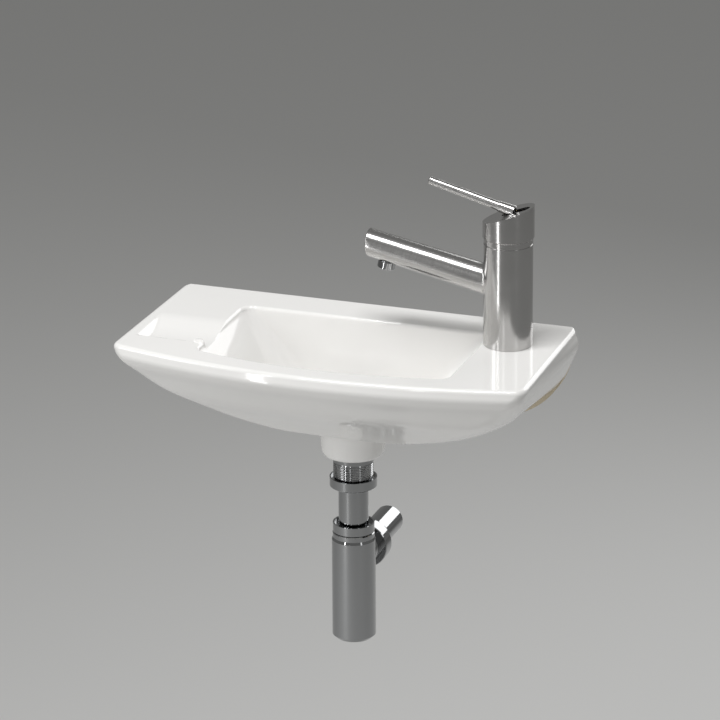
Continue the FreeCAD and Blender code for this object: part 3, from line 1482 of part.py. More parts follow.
# ---------------------------------------------------------------------------------------------
# Cap and lever
# ---------------------------------------------------------------------------------------------
def lever_cap():
    """Slanted cap, hollowed to one wall thickness, with the slot for the lever."""
    body = tap_piece("lever_cap")
    low = size("tap_height") + size("cap_gap")
    radius = size("cap_radius")
    slope = tangent(size("cap_slope"))
    high = size("cap_height") + radius * slope
    prism(body, "drum", lambda sketch: circle(sketch, radius), high - low, lift=low)
    far = radius * 1.5

    def above_slant(sketch):
        rise = far * slope
        outline(sketch, [(-far, size("cap_height") - rise), (far, size("cap_height") + rise),
                         (far, size("cap_height") + rise * 3),
                         (-far, size("cap_height") + rise * 3)])

    slant = prism(body, "slant", above_slant, radius * 3, plane="XZ_Plane", cut=True,
                  centred=True)
    DOC.recompute()
    faces = slant.Shape.Faces
    bottom = min(range(len(faces)), key=lambda index: faces[index].CenterOfMass.z)
    shell = body.newObject("PartDesign::Thickness", "hollowed")
    shell.Base = (slant, ["Face%d" % (bottom + 1)])
    shell.Value = size("cap_wall").value
    shell.setExpression("Value", size("cap_wall").text)
    shell.Reversed = True
    shell.Join = "Intersection"
    half = size("slot_half")
    front = -size("slot_front")
    rear = size("slot_rear")
    corner = size("slot_corner")

    def slot(sketch):
        outline(sketch, [(front, -half, corner), (rear, -half, corner), (rear, half, corner),
                         (front, half, corner)])

    prism(body, "lever_slot", slot, high - size("cap_height") + radius, cut=True, lift=high)
    ring_between("glide_ring", size("tap_neck") + size("pin_gap"),
                 radius - size("cap_wall") - size("glide_gap"),
                 low + size("glide_height"), low + size("glide_gap"), piece=tap_piece)


def lever():
    """Neck on the spindle's tenon, the rod in it and the grub screw behind."""
    turn = 90 - size("lever_tilt")
    place = (0, size("lever_height"))
    front = size("neck_front")
    back = -size("neck_back")
    tip = size("neck_tip")
    root = size("neck_root")
    hole = size("spigot_radius")
    inside = front - size("rod_spigot")
    neck = tap_piece("lever_neck")
    ease = size("edge_break")
    turned(neck, "neck", [(0, back), *corner_cut(root, back, (-ease, 0), (0, ease)),
                          (tip, front), (0, front)], turn=turn, shift=place)
    turned(neck, "rod_hole", [(0, inside), (hole, inside), (hole, front), (0, front)], cut=True,
           turn=turn, shift=place)
    screw = size("screw_radius")
    turned(neck, "screw_hole", [(0, back), (screw, back), (screw, 0), (0, 0)], cut=True,
           turn=turn, shift=place)
    half = size("tenon_side") / 2

    def square(sketch):
        outline(sketch, [(-half, -half), (half, -half), (half, half), (-half, half)])

    prism(neck, "tenon_hole", square, size("tenon_top") - size("bar_bottom"), cut=True,
          lift=size("tenon_top"))
    rod = tap_piece("lever_rod")
    end = size("lever_length")
    thin = size("lever_tip")
    turned(rod, "rod", [(0, inside), (hole, inside), (hole, front), (size("lever_root"), front),
                        *corner_cut(thin, end, (0, -ease), (-ease, 0)), (0, end)], turn=turn,
           shift=place)
    grub = tap_piece("lever_grub_screw")
    start = -size("screw_start")
    stop = start - size("screw_length")
    socket = size("screw_socket")
    turned(grub, "screw", [(0, start), (screw, start), (screw, stop), (socket, stop),
                           (socket, stop + socket), (0, stop + socket)], turn=turn, shift=place)


# ---------------------------------------------------------------------------------------------
# Build, check and write
# ---------------------------------------------------------------------------------------------
def build():
    """Make every sub-part."""
    fill_sheet()
    basin_body()
    fixing_bush("fixing_bush_left", -1)
    fixing_bush("fixing_bush_right", 1)
    waste_body()
    waste_grid()
    waste_seals()
    waste_back_nut()
    trap_union_nut()
    trap_inlet_tube()
    trap_top_nut()
    trap_body()
    trap_plug()
    trap_outlet()
    tap_body()
    tap_spout()
    aerator()
    valve_body()
    tap_foot()
    clamp()
    cartridge_housing()
    moving_disc()
    cartridge_rotor()
    lever_spindle()
    cartridge_nut()
    lever_cap()
    lever()
    DOC.recompute()


def check_and_write():
    """Refuse a failed feature or a broken solid, then write one STEP file per sub-part."""
    for item in DOC.Objects:
        if "Invalid" in item.State or "Error" in item.State:
            raise RuntimeError("%s did not build: %s" % (item.Label, item.State))
    for body in PARTS:
        shape = body.Shape
        if shape.isNull() or not shape.isValid():
            raise RuntimeError("%s has a broken shape" % body.Label)
        if len(shape.Solids) != 1:
            raise RuntimeError("%s has %d solids" % (body.Label, len(shape.Solids)))
    os.makedirs("parts", exist_ok=True)
    for body in PARTS:
        body.Shape.exportStep("parts/%s.step" % body.Label)


build()
check_and_write()
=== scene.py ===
"""Wall hung hand basin with its mixer tap and bottle trap, finished for a picture."""

import json
import math

import bpy
import mathutils
import numpy as np
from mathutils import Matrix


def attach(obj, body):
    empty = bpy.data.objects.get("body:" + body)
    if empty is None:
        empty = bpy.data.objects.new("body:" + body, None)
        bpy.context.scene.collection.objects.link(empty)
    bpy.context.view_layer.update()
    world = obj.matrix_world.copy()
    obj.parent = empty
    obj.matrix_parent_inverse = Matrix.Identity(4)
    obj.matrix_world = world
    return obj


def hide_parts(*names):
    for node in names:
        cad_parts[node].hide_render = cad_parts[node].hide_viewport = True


bl_info = {
    "name": "Wall Hung Basin",
    "version": (1, 0, 0),
    "blender": (4, 5, 0),
    "location": "View3D > Sidebar > Basin",
    "description": "Finishes and fine forms of a wall hung hand basin, its tap and its trap",
    "category": "Add Mesh",
}

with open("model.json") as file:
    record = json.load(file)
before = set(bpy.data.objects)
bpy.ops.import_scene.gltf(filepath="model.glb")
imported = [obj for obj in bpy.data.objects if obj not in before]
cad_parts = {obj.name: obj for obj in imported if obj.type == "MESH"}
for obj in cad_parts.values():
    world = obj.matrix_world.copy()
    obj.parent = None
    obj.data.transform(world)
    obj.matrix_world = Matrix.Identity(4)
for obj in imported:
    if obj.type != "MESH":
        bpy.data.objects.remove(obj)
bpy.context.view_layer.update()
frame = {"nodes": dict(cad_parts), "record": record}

MM = 0.001                      # every table below is in millimetres
RIM_Z = 55.0                    # deck level above the row's origin
WALL_Y = 0.0
TAP_X, TAP_Y = 168.3, -70.8     # axis of the column
WASTE_Y = -86.0                 # axis of the outlet

# outside of the ware: half widths at the wall and at the front, reach, and plan radii
HALF_REAR, HALF_FRONT, REACH, PAST_WALL = 224.0, 229.0, 237.0, 6.0
RIM_BOW, REAR_ROUND, RIM_CORNER = 810.0, 18.0, 14.0
# depth, then the insets of the rear half, front half and bow, and the corner's radius
SKIRT = ((5, 0, 0, 0, 14), (10, -2.5, 2, -1.5, 17), (30, 0.5, 12, 13, 30),
         (54, 10.5, 31, 36, 44), (76, 29.3, 58.7, 65.5, 52), (93, 59, 87, 89, 52),
         (104, 104, 133, 102.5, 45))
BOTTOM = 104.0

# bowl's opening, and how its rolled edge leans out at the deck and in below it
BOWL_X, BOWL_HALF, REAR_LEDGE, BOWL_FRONT = 2.0, 140.0, 46.0, 210.0
BOWL_BOW, BOWL_CORNER, EDGE_OUT, EDGE_IN = 550.0, 14.0, 2.2, 1.4
# depth, then the insets of the sides, rear and front, and the corners' radius
BOWL = ((45, 29, 1.5, 21, 24), (80, 51, 4, 54, 30), (92, 74, 12, 92, 22))
FLOOR = 92.0

# soap recess: the wall to its rear and front, its slope, and its left end
RECESS_REAR, RECESS_FRONT, RECESS_FALL, RECESS_LEFT = 102.0, 169.0, 7 / 38, 213.0
PIP_X, PIP_RADIUS, NOWHERE = -143.0, 7.5, -60.0

# hollow under a deck: depth below the rim (the first is the deck's own thickness), shift of
# its inner side, insets of its outer side at the wall and at its front, and its front
HOLLOW = ((None, 0, 11, 10, 188), (50, 22.5, 21, 36, 168), (80, 41.5, 54, 72, 128),
          (112, 55, 74, 96, 100))
RIGHT_INNER, LEFT_INNER, RIGHT_DECK, LEFT_DECK = 146.5, -142.5, 14.0, 22.0
FLANGE, FLANGE_HALF, FLANGE_TOP, FLANGE_CORNER = 16.0, 219.5, 18.0, 85.0
FIXING_X = 140.0
SEAT, BOSS_LOW, BOSS, BOSS_NARROW = 96.0, 139.0, 36.5, 33.5

# tap: column, and the spout's rise in degrees, radii, and the stretch of its taper
COLUMN, COLUMN_BORE, SPOUT_Z, SPOUT_RISE = 26.0, 24.6, 64.5, 11.8
SPOUT_ROOT, SPOUT_TIP, SPOUT_START, SPOUT_END, SPOUT_FACE = 16.0, 14.8, 19.0, 156.8, 13.8
SLOTS = {row["node"]: row["material_slot"] for row in frame["record"]["subparts"]}


def linear(code):
    """An sRGB hex colour as a linear RGBA value."""
    values = [int(code[i:i + 2], 16) / 255 for i in (1, 3, 5)]
    return [v / 12.92 if v <= 0.04045 else ((v + 0.055) / 1.055) ** 2.4 for v in values] + [1.0]


def colour(name, code, text):
    """A colour that a user may change."""
    return bpy.props.FloatVectorProperty(name=name, description=text, subtype="COLOR", size=4,
                                         min=0.0, max=1.0, default=linear(code))


def length(name, millimetres, text):
    """A length that a user may change, kept in metres."""
    return bpy.props.FloatProperty(name=name, description=text, default=millimetres * MM,
                                   min=0.0, unit="LENGTH", subtype="DISTANCE")


class WareSizes(bpy.types.PropertyGroup):
    """Sizes of the glazed ware that a user may change."""

    rim_roll: length("Rim roll", 5.0, "Radius of the rolled outer rim")
    edge_roll: length("Bowl edge roll", 4.0, "Depth of the bowl's rolled edge")
    soap_depth: length("Soap recess", 7.0, "Depth of the soap recess at its front")
    pip_height: length("Pip height", 2.5, "Height of the pip above the deck")
    foot_fillet: length("Boss fillet", 6.0, "Soft root of the outlet boss")


class TapSizes(bpy.types.PropertyGroup):
    """Sizes of the tap and trap details that a user may change."""

    weld: length("Weld fillet", 2.6, "Polished fillet where the spout meets the column")
    end_ease: length("Spout end ease", 1.2, "Eased edge around the spout's flat end")
    pitch: length("Thread pitch", 2.0, "Pitch of the thread on the waste's tail")
    thread_rise: length("Thread height", 0.8, "Height of the thread's ridge")


class FinishColours(bpy.types.PropertyGroup):
    """Colours of the finishes that a user may change."""

    glaze: colour("Glaze", "#F5F4F2", "White glaze over the vitreous china")
    clay: colour("Bare clay", "#E3D6BD", "Unglazed clay at the wall")
    satin: colour("Satin steel", "#C3C2C1", "Brushed stainless steel of the tap")
    chrome: colour("Chrome", "#A6A7A8", "Polished chrome plate of the waste and trap")
    brass: colour("Brass", "#C9A85C", "Machined brass of the valve")
    steel: colour("Machined steel", "#A9A9A8", "Turned stainless fastenings")
    rubber: colour("Rubber", "#2A2A2A", "Black nitrile seals")
    nylon: colour("Nylon", "#DAD9D0", "Natural nylon of the wall bushes")
    plastic: colour("Acetal", "#E2E2DF", "White acetal of the cartridge and rings")
    disc: colour("Disc ceramic", "#E8E5DC", "Lapped alumina discs")


class StageSizes(bpy.types.PropertyGroup):
    """Sizes and levels of the studio that a user may change."""

    camera_distance: length("Camera distance", 5290.0, "Camera to the point it looks at")
    camera_turn: bpy.props.FloatProperty(name="Camera turn", subtype="ANGLE",
                                         description="Turn of the camera to the right",
                                         default=math.radians(19.52))
    camera_rise: bpy.props.FloatProperty(name="Camera rise", subtype="ANGLE",
                                         description="Height of the camera above level",
                                         default=math.radians(20.27))
    camera_roll: bpy.props.FloatProperty(name="Camera roll", subtype="ANGLE",
                                         description="Roll of the camera",
                                         default=math.radians(-0.31))
    floor: colour("Floor", "#DBDBDA", "Plain pale floor and backdrop")


# ---------------------------------------------------------------- materials

def add(tree, kind, settings=None, values=None, links=None):
    """Adds a node, sets its properties and sockets, and links named sockets to outputs."""
    node = tree.nodes.new(kind)
    for key, value in (settings or {}).items():
        setattr(node, key, value)
    for key, value in (values or {}).items():
        node.inputs[key].default_value = value
    for key, output in (links or {}).items():
        tree.links.new(output, node.inputs[key])
    return node


def new_material(name, base, roughness, metallic=0.0, **sockets):
    """A material with its shader's own sockets set; returns it, its tree and its shader."""
    material = bpy.data.materials.new(name)
    material.use_nodes = True
    material.diffuse_color = base
    tree = material.node_tree
    shader = tree.nodes["Principled BSDF"]
    shader.inputs["Base Color"].default_value = base
    shader.inputs["Roughness"].default_value = roughness
    shader.inputs["Metallic"].default_value = metallic
    for key, value in sockets.items():
        shader.inputs[key.replace("_", " ")].default_value = value
    return material, tree, shader


def spread(tree, factor, low, high, span=(0.0, 1.0)):
    """Maps a 0 to 1 pattern onto a range of values."""
    return add(tree, "ShaderNodeMapRange", values={"From Min": span[0], "From Max": span[1],
                                                    "To Min": low, "To Max": high},
               links={"Value": factor}).outputs["Result"]


def object_place(tree, scale=(1.0, 1.0, 1.0), location=(0.0, 0.0, 0.0), turn=(0.0, 0.0, 0.0)):
    """Object coordinates, moved, turned and scaled."""
    place = add(tree, "ShaderNodeTexCoord").outputs["Object"]
    moved = add(tree, "ShaderNodeMapping", {"vector_type": "TEXTURE"},
                {"Location": location, "Rotation": turn}, {"Vector": place})
    return add(tree, "ShaderNodeVectorMath", {"operation": "MULTIPLY"}, {1: scale},
               {0: moved.outputs["Vector"]}).outputs["Vector"]


def noise(tree, vector, scale, detail=2.0, rough=0.5):
    """A noise pattern whose scale is one over its size in metres."""
    return add(tree, "ShaderNodeTexNoise",
               values={"Scale": scale, "Detail": detail, "Roughness": rough},
               links={"Vector": vector}).outputs["Fac"]


def tint(tree, shader, factor, low, high):
    """Blends two close colours over a pattern into the base colour."""
    mix = add(tree, "ShaderNodeMix", {"data_type": "RGBA"}, {6: low, 7: high}, {0: factor})
    tree.links.new(mix.outputs[2], shader.inputs["Base Color"])


def shade(value, by):
    """The same colour made darker or lighter."""
    return [min(1.0, v * by) for v in value[:3]] + [1.0]


def bump(tree, shader, height, strength, distance):
    """Lays a height pattern on the shader as bump."""
    node = add(tree, "ShaderNodeBump", values={"Strength": strength, "Distance": distance},
               links={"Height": height})
    tree.links.new(node.outputs["Normal"], shader.inputs["Normal"])


def glaze_material(colours):
    """Vitreous china, sprayed and fired: deep gloss, a faint orange peel and slow unevenness."""
    base = list(colours.glaze)
    # the clear glaze lies over an opaque white body, so highlights are sharp and shade is soft
    material, tree, shader = new_material("fired_white_glaze", base, 0.08, IOR=1.52,
                                          Specular_IOR_Level=0.6)
    place = object_place(tree)
    slow = noise(tree, place, 1 / 0.12)             # firing leaves 120 mm patches of tone
    tint(tree, shader, spread(tree, slow, 0.0, 1.0, (0.3, 0.7)), shade(base, 0.975), base)
    tree.links.new(spread(tree, noise(tree, place, 1 / 0.05), 0.06, 0.1),
                   shader.inputs["Roughness"])
    # orange peel of the sprayed glaze, about 4 mm across and a few microns high
    bump(tree, shader, noise(tree, place, 1 / 0.004, 1.0), 0.15, 0.00004)
    return material


def clay_material(colours):
    """Bare fired clay where the ware stood against the kiln's prop: dry, sandy and cream."""
    base = list(colours.clay)
    material, tree, shader = new_material("bare_fired_clay", base, 0.9, IOR=1.5)
    place = object_place(tree)
    grit = noise(tree, place, 1 / 0.0015, 3.0)       # 1.5 mm grog
    tint(tree, shader, grit, shade(base, 0.86), shade(base, 1.05))
    bump(tree, shader, grit, 0.4, 0.0002)
    return material


def brushed_material(name, base, axis_turn, centre, roughness=(0.17, 0.24)):
    """Stainless steel brushed round its axis while it turned: fine rings across the form.

    The rings are noise stretched round the axis, so the pattern varies along the axis only.
    """
    material, tree, shader = new_material(name, base, sum(roughness) / 2, 1.0)
    # brush marks are 0.05 mm wide; they are drawn 0.9 mm wide so that they show
    rings = noise(tree, object_place(tree, (0.006, 0.006, 1.0), centre, axis_turn), 1 / 0.0009, 2.0)
    slow = noise(tree, object_place(tree), 1 / 0.03)
    tree.links.new(spread(tree, rings, roughness[0], roughness[1], (0.3, 0.7)),
                   shader.inputs["Roughness"])
    tint(tree, shader, spread(tree, slow, 0.0, 1.0, (0.3, 0.7)), shade(base, 0.96), base)
    bump(tree, shader, rings, 0.05, 0.00002)
    return material


def chrome_material(colours):
    """Chrome plate over polished brass: mirror bright with a few water marks."""
    base = list(colours.chrome)
    material, tree, shader = new_material("polished_chrome_plate", base, 0.06, 1.0)
    place = object_place(tree)
    spots = noise(tree, place, 1 / 0.006, 2.0)       # dried drops, 6 mm apart
    tree.links.new(spread(tree, spots, 0.05, 0.1, (0.45, 0.75)), shader.inputs["Roughness"])
    tint(tree, shader, noise(tree, place, 1 / 0.04), shade(base, 0.95), base)
    return material


def turned_material(name, base, roughness, grain):
    """Machined metal: fine level tool rings, a little cloudier than brushed work."""
    material, tree, shader = new_material(name, base, roughness, 1.0)
    rings = noise(tree, object_place(tree, (0.05, 0.05, 1.0)), 1 / grain, 2.0)
    tree.links.new(spread(tree, rings, roughness - 0.06, roughness + 0.08),
                   shader.inputs["Roughness"])
    tint(tree, shader, rings, shade(base, 0.88), base)
    return material


def moulded_material(name, base, roughness, grain, ior, height=0.00003, **sockets):
    """A moulded part: spark-eroded grain in the tool and slow flow marks of tone."""
    material, tree, shader = new_material(name, base, roughness, IOR=ior, **sockets)
    place = object_place(tree)
    fine = noise(tree, place, 1 / grain, 2.0)
    tint(tree, shader, noise(tree, place, 1 / 0.02), shade(base, 0.94), base)
    tree.links.new(spread(tree, fine, roughness - 0.06, roughness + 0.06),
                   shader.inputs["Roughness"])
    bump(tree, shader, fine, 0.3, height)
    return material


def make_finishes(colours):
    """Every finish by the record's slot, with the tap's own brushing directions beside them."""
    level = (0.0, 0.0, 0.0)
    axis = (TAP_X * MM, TAP_Y * MM, 0.0)
    satin = list(colours.satin)
    lean = (0.0, math.radians(SPOUT_RISE - 90), 0.0)   # the spout rises to the left
    return {
        "glazed_ceramic": glaze_material(colours),
        "bare_clay": clay_material(colours),
        "satin_steel": brushed_material("brushed_stainless_upright", satin, level, axis),
        "satin_spout": brushed_material("brushed_stainless_along_spout", satin, lean, axis),
        "chrome": chrome_material(colours),
        "brass": turned_material("machined_brass", list(colours.brass), 0.3, 0.0006),
        "steel": turned_material("turned_stainless", list(colours.steel), 0.35, 0.0005),
        "rubber": moulded_material("nitrile_rubber", list(colours.rubber), 0.6, 0.0008, 1.52),
        "nylon": moulded_material("moulded_nylon", list(colours.nylon), 0.45, 0.001, 1.53,
                                  Subsurface_Weight=0.1, Subsurface_Scale=0.002),
        "plastic": moulded_material("moulded_acetal", list(colours.plastic), 0.4, 0.001, 1.48),
        "disc_ceramic": moulded_material("lapped_alumina", list(colours.disc), 0.3, 0.0004, 1.76),
    }


FINISHES = {}


def finish(name):
    """A finish by its slot's name; the finishes are made once."""
    if not FINISHES:
        FINISHES.update(make_finishes(bpy.context.scene.basin_finishes))
    return FINISHES[name]


# ---------------------------------------------------------------- mesh helpers

def grid_faces(rows, columns, closed_rows=False):
    """Quads of a grid whose columns close into a ring, as index rows."""
    row = np.arange(rows if closed_rows else rows - 1)[:, None]
    column = np.arange(columns)[None, :]
    ahead = (column + 1) % columns
    below = (row + 1) % rows
    return np.stack([row * columns + column, row * columns + ahead,
                     below * columns + ahead, below * columns + column], -1).reshape(-1, 4)


def capped(points, first=None, last=None):
    """Vertices and faces of a stack of rings, with a pole fan at either end.

    The quads join each ring to the next; a pole is one more vertex joined to a ring's edges.
    """
    rows, columns = points.shape[:2]
    vertices = [points.reshape(-1, 3)]
    faces = grid_faces(rows, columns).tolist()
    column = np.arange(columns)
    ahead = (column + 1) % columns
    count = rows * columns
    for pole, base, flip in ((first, 0, True), (last, (rows - 1) * columns, False)):
        if pole is None:
            continue
        vertices.append(np.array([pole], dtype=float))
        hub = np.full(columns, count)
        fan = (hub, base + ahead, base + column) if flip else (hub, base + column, base + ahead)
        faces += np.stack(fan, -1).tolist()
        count += 1
    return np.concatenate(vertices), faces


def new_piece(name, vertices, faces, material, smooth_angle=35.0):
    """A mesh object at the origin, its vertices given in millimetres, smooth with sharp edges."""
    mesh = bpy.data.meshes.new(name)
    mesh.from_pydata((np.asarray(vertices) * MM).tolist(), [], faces)
    mesh.materials.append(material)
    mesh.validate()
    mesh.update()
    mesh.shade_smooth()
    mesh.set_sharp_from_angle(angle=math.radians(smooth_angle))
    piece = bpy.data.objects.new(name, mesh)
    bpy.context.scene.collection.objects.link(piece)
    return piece


def turned_piece(profile, count):
    """Rings of a closed profile of (radius, height) swept round the upright axis."""
    angle = np.linspace(0, 2 * math.pi, count, endpoint=False)
    radius, height = np.asarray(profile, float).T
    return np.stack([radius[:, None] * np.cos(angle), radius[:, None] * np.sin(angle),
                     np.repeat(height[:, None], count, 1)], -1)


def eased(corners, radius, steps=6):
    """A profile whose listed inner corners are rounded by quadratic curves of that reach."""
    corners = [np.asarray(c, float) for c in corners]
    out = [corners[0]]
    for before, corner, after in zip(corners, corners[1:], corners[2:]):
        start = corner + (before - corner) * min(0.5, radius / np.linalg.norm(before - corner))
        end = corner + (after - corner) * min(0.5, radius / np.linalg.norm(after - corner))
        t = np.linspace(0, 1, steps)[:, None]
        out.extend((1 - t) ** 2 * start + 2 * t * (1 - t) * corner + t ** 2 * end)
    return np.array(out + [corners[-1]])


# ---------------------------------------------------------------- glazed ware

ARC, SIDE, CORNER, BOW, REAR = 9, 110, 15, 66, 60      # points along each stretch of an outline


def outline(half_rear, half_front, rear, front, bow, rear_round, corner):
    """Level outlines of the ware, one row per section, as points from the rear round the front.

    The right half is an arc at the rear corner, cut off at the wall, a straight side, an arc at
    the front corner that touches the side and the bow, and half of the bow, a circle about a
    centre on the middle line. The left half is its mirror and a straight line closes the rear.
    Every argument is a column of values, one per section.
    """
    cols = [np.asarray(v, float).reshape(-1, 1) * np.ones((len(np.atleast_1d(half_rear)), 1))
            for v in (half_rear, half_front, rear, front, bow, rear_round, corner)]
    half_rear, half_front, rear, front, bow, rear_round, corner = cols
    start = np.concatenate([half_rear, rear], 1)
    front_y = front + bow - np.sqrt(bow ** 2 - half_front ** 2)
    along = np.concatenate([half_front, front_y], 1) - start
    along /= np.linalg.norm(along, axis=1, keepdims=True)
    inward = np.stack([along[:, 1], -along[:, 0]], 1)
    centre = np.concatenate([np.zeros_like(front), front + bow], 1)
    run = rear_round * (-1 - inward[:, 1:]) / along[:, 1:]
    rear_centre = start + along * run + inward * rear_round
    offset = start + inward * corner - centre
    ahead = (offset * along).sum(1, keepdims=True)
    far = -ahead + np.sqrt(ahead ** 2 - (offset ** 2).sum(1, keepdims=True) + (bow - corner) ** 2)
    corner_centre = centre + offset + along * far
    out = corner_centre - centre
    side_angle = np.arctan2(-inward[:, 1:], -inward[:, :1])
    wall_angle = np.arcsin(np.clip((WALL_Y - rear_centre[:, 1:]) / rear_round, -1, 1))
    touch_angle = np.arctan2(out[:, 1:], out[:, :1])

    def arc(middle, radius, first, last, count, skip):
        t = np.linspace(0, 1, count)[None, skip:]
        angle = first + (last - first) * t
        return middle[:, None, :] + radius[:, :, None] * np.stack([np.cos(angle), np.sin(angle)],
                                                                  -1)

    t = np.linspace(0, 1, SIDE)[None, 1:, None]
    side = start[:, None] + along[:, None] * (run[:, :, None] * (1 - t) + far[:, :, None] * t)
    right = np.concatenate([
        arc(rear_centre, rear_round, wall_angle, side_angle, ARC, 0), side,
        arc(corner_centre, corner, side_angle, touch_angle, CORNER, 1),
        arc(centre, bow, touch_angle, np.full_like(bow, -math.pi / 2), BOW, 1)], 1)
    left = right[:, -2::-1] * [-1, 1]
    t = np.linspace(0, 1, REAR)[None, 1:-1, None]
    return np.concatenate([right, left, left[:, -1:] * (1 - t) + right[:, :1] * t], 1)


def natural_spline(rings, rows):
    """A natural cubic spline through control rings, against their mean chord, at some rows.

    The second derivatives at the controls solve the usual tridiagonal system with zero ends.
    """
    step = np.linalg.norm(np.diff(rings, axis=0), axis=2).mean(1)
    knots = np.concatenate([[0], np.cumsum(step)])
    count = len(knots)
    flat = rings.reshape(count, -1)
    system = np.eye(count)
    right = np.zeros_like(flat)
    for i in range(1, count - 1):
        system[i, i - 1:i + 2] = step[i - 1], 2 * (step[i - 1] + step[i]), step[i]
        right[i] = 6 * ((flat[i + 1] - flat[i]) / step[i] - (flat[i] - flat[i - 1]) / step[i - 1])
    second = np.linalg.solve(system, right)
    at = np.linspace(0, knots[-1], rows)
    i = np.clip(np.searchsorted(knots, at, side="right") - 1, 0, count - 2)
    a = ((knots[i + 1] - at) / step[i])[:, None]
    b = 1 - a
    h = (step[i] ** 2 / 6)[:, None]
    value = (a * flat[i] + b * flat[i + 1]
             + ((a ** 3 - a) * second[i] + (b ** 3 - b) * second[i + 1]) * h)
    return value.reshape(rows, *rings.shape[1:])


def with_depth(rings, depth):
    """Level outlines lifted to their depths below the deck."""
    depth = np.asarray(depth, float)[:, None, None] * np.ones((*rings.shape[:2], 1))
    return np.concatenate([rings, -depth], 2)


def skirt_rings(depth, rear, front, bow, corner, inset=0.0):
    """Outer outlines: depth, insets of the rear half, front half and bow, and corner radius."""
    inset = np.asarray(inset, float)
    return with_depth(outline(HALF_REAR - np.asarray(rear, float) - inset,
                              HALF_FRONT - np.asarray(front, float) - inset, PAST_WALL,
                              np.asarray(bow, float) + inset - REACH, RIM_BOW - inset,
                              REAR_ROUND - inset, np.asarray(corner, float) - inset), depth)


def bowl_rings(depth, side, rear, front, corner):
    """Bowl outlines: depth, insets of the sides, rear and front, and corner radius."""
    side, rear, front, corner = [np.asarray(v, float) for v in (side, rear, front, corner)]
    rings = outline(BOWL_HALF - side, BOWL_HALF - side, -(REAR_LEDGE + rear),
                    front - BOWL_FRONT, BOWL_BOW - front, corner, corner)
    rings[..., 0] += BOWL_X
    return with_depth(rings, depth)


def soft_max(a, b, width):
    """The larger of two heights with their crossing rounded over a width."""
    blend = np.clip(0.5 + 0.5 * (a - b) / width, 0, 1)
    return b * (1 - blend) + a * blend + width * blend * (1 - blend)


def soft_min(a, b, width):
    """The smaller of two heights with their crossing rounded over a width."""
    return -soft_max(-a, -b, width)


def ware_shell(sizes):
    """The whole glazed skin as one stack of rings from the bowl's floor to the underside.

    A row runs round the basin. The rows climb the bowl on a spline through its four sections,
    turn over a rolled edge, cross the deck in straight lines, turn down a quarter round rim and
    run down a spline through the skirt's seven sections. The soap recess is a depth, the least
    of four sloping planes, and it and the raised pip are blended into the deck's height.
    """
    edge = sizes.edge_roll / MM
    rim = sizes.rim_roll / MM
    bowl = natural_spline(np.concatenate([
        bowl_rings([edge], [EDGE_IN], [EDGE_IN], [EDGE_IN], [BOWL_CORNER - EDGE_IN]),
        bowl_rings(*zip(*BOWL))]), 40)
    turn = np.radians(np.linspace(90, 0, 9))
    lean = (EDGE_OUT + EDGE_IN) * np.sin(turn) - EDGE_OUT
    roll = bowl_rings(edge * (1 - np.cos(turn)), lean, lean, lean, BOWL_CORNER - lean)
    turn = np.radians(np.linspace(0, 90, 9))
    none = np.zeros(9)
    over = skirt_rings(rim * (1 - np.cos(turn)), none, none, none, none + RIM_CORNER,
                       rim * (1 - np.sin(turn)))
    t = np.linspace(0, 1, 48)[1:-1, None, None]
    deck = roll[-1] * (1 - t) + over[0] * t
    skirt = natural_spline(skirt_rings(*zip(*SKIRT)), 46)
    t = np.linspace(0, 1, 4)[1:-1, None, None]
    middle = np.array([0, WASTE_Y, -FLOOR])
    floor = middle + (bowl[-1] - middle) * t
    under = np.array([0, WASTE_Y, -BOTTOM])
    base = skirt[-1] + (under - skirt[-1]) * np.array([0.35, 0.7])[:, None, None]
    rings = np.concatenate([floor, bowl[:0:-1], roll, deck, over, skirt[1:], base])
    x, y, height = rings[..., 0], rings[..., 1], rings[..., 2]
    recess = soft_min(soft_min(RECESS_FALL * (-RECESS_REAR - y), 2.0 * (y + RECESS_FRONT), 3.0),
                      soft_min(x + RECESS_LEFT, np.full_like(x, sizes.soap_depth / MM), 3.0),
                      3.0)
    recess = np.where(x < 0, recess, NOWHERE)
    above = len(floor) + len(bowl) + len(roll) + len(deck) + len(over) // 2
    on_deck = (height > -30) & (np.arange(len(rings)) < above)[:, None]
    cut = -soft_max(-height, recess, 1.6)
    away = np.hypot(x - PIP_X, y + RECESS_FRONT)
    pip = sizes.pip_height / MM - 12 * (away / PIP_RADIUS) ** 6
    cut = soft_max(cut, np.where(away < 12, pip, NOWHERE), 1.2)
    rings[..., 2] = np.where(on_deck & (recess > -1.6), cut, height) + RIM_Z
    middle, under = middle + [0, 0, RIM_Z], under + [0, 0, RIM_Z]
    return capped(rings, middle, under)


def rounded_polygon(corners, steps):
    """Points of a polygon whose corners, each (x, y, radius), are arcs between its sides."""
    points = []
    count = len(corners)
    for i, (x, y, radius) in enumerate(corners):
        here = np.array([x, y], float)
        back = np.array(corners[i - 1][:2], float) - here
        ahead = np.array(corners[(i + 1) % count][:2], float) - here
        back, ahead = back / np.linalg.norm(back), ahead / np.linalg.norm(ahead)
        half = math.acos(float(np.clip(back @ ahead, -1, 1))) / 2
        middle = (back + ahead) / np.linalg.norm(back + ahead)
        centre = here + middle * radius / math.sin(half)
        first = here + back * radius / math.tan(half) - centre
        last = here + ahead * radius / math.tan(half) - centre
        a, b = math.atan2(first[1], first[0]), math.atan2(last[1], last[0])
        b += 2 * math.pi * round((a - b) / (2 * math.pi))
        angle = np.linspace(a, b, steps)
        points.append(centre + radius * np.stack([np.cos(angle), np.sin(angle)], 1))
    return np.concatenate(points)


def boxed(rings):
    """Closes a stack of rings with a pole in the middle of each end ring."""
    return capped(rings, rings[0].mean(0), rings[-1].mean(0))


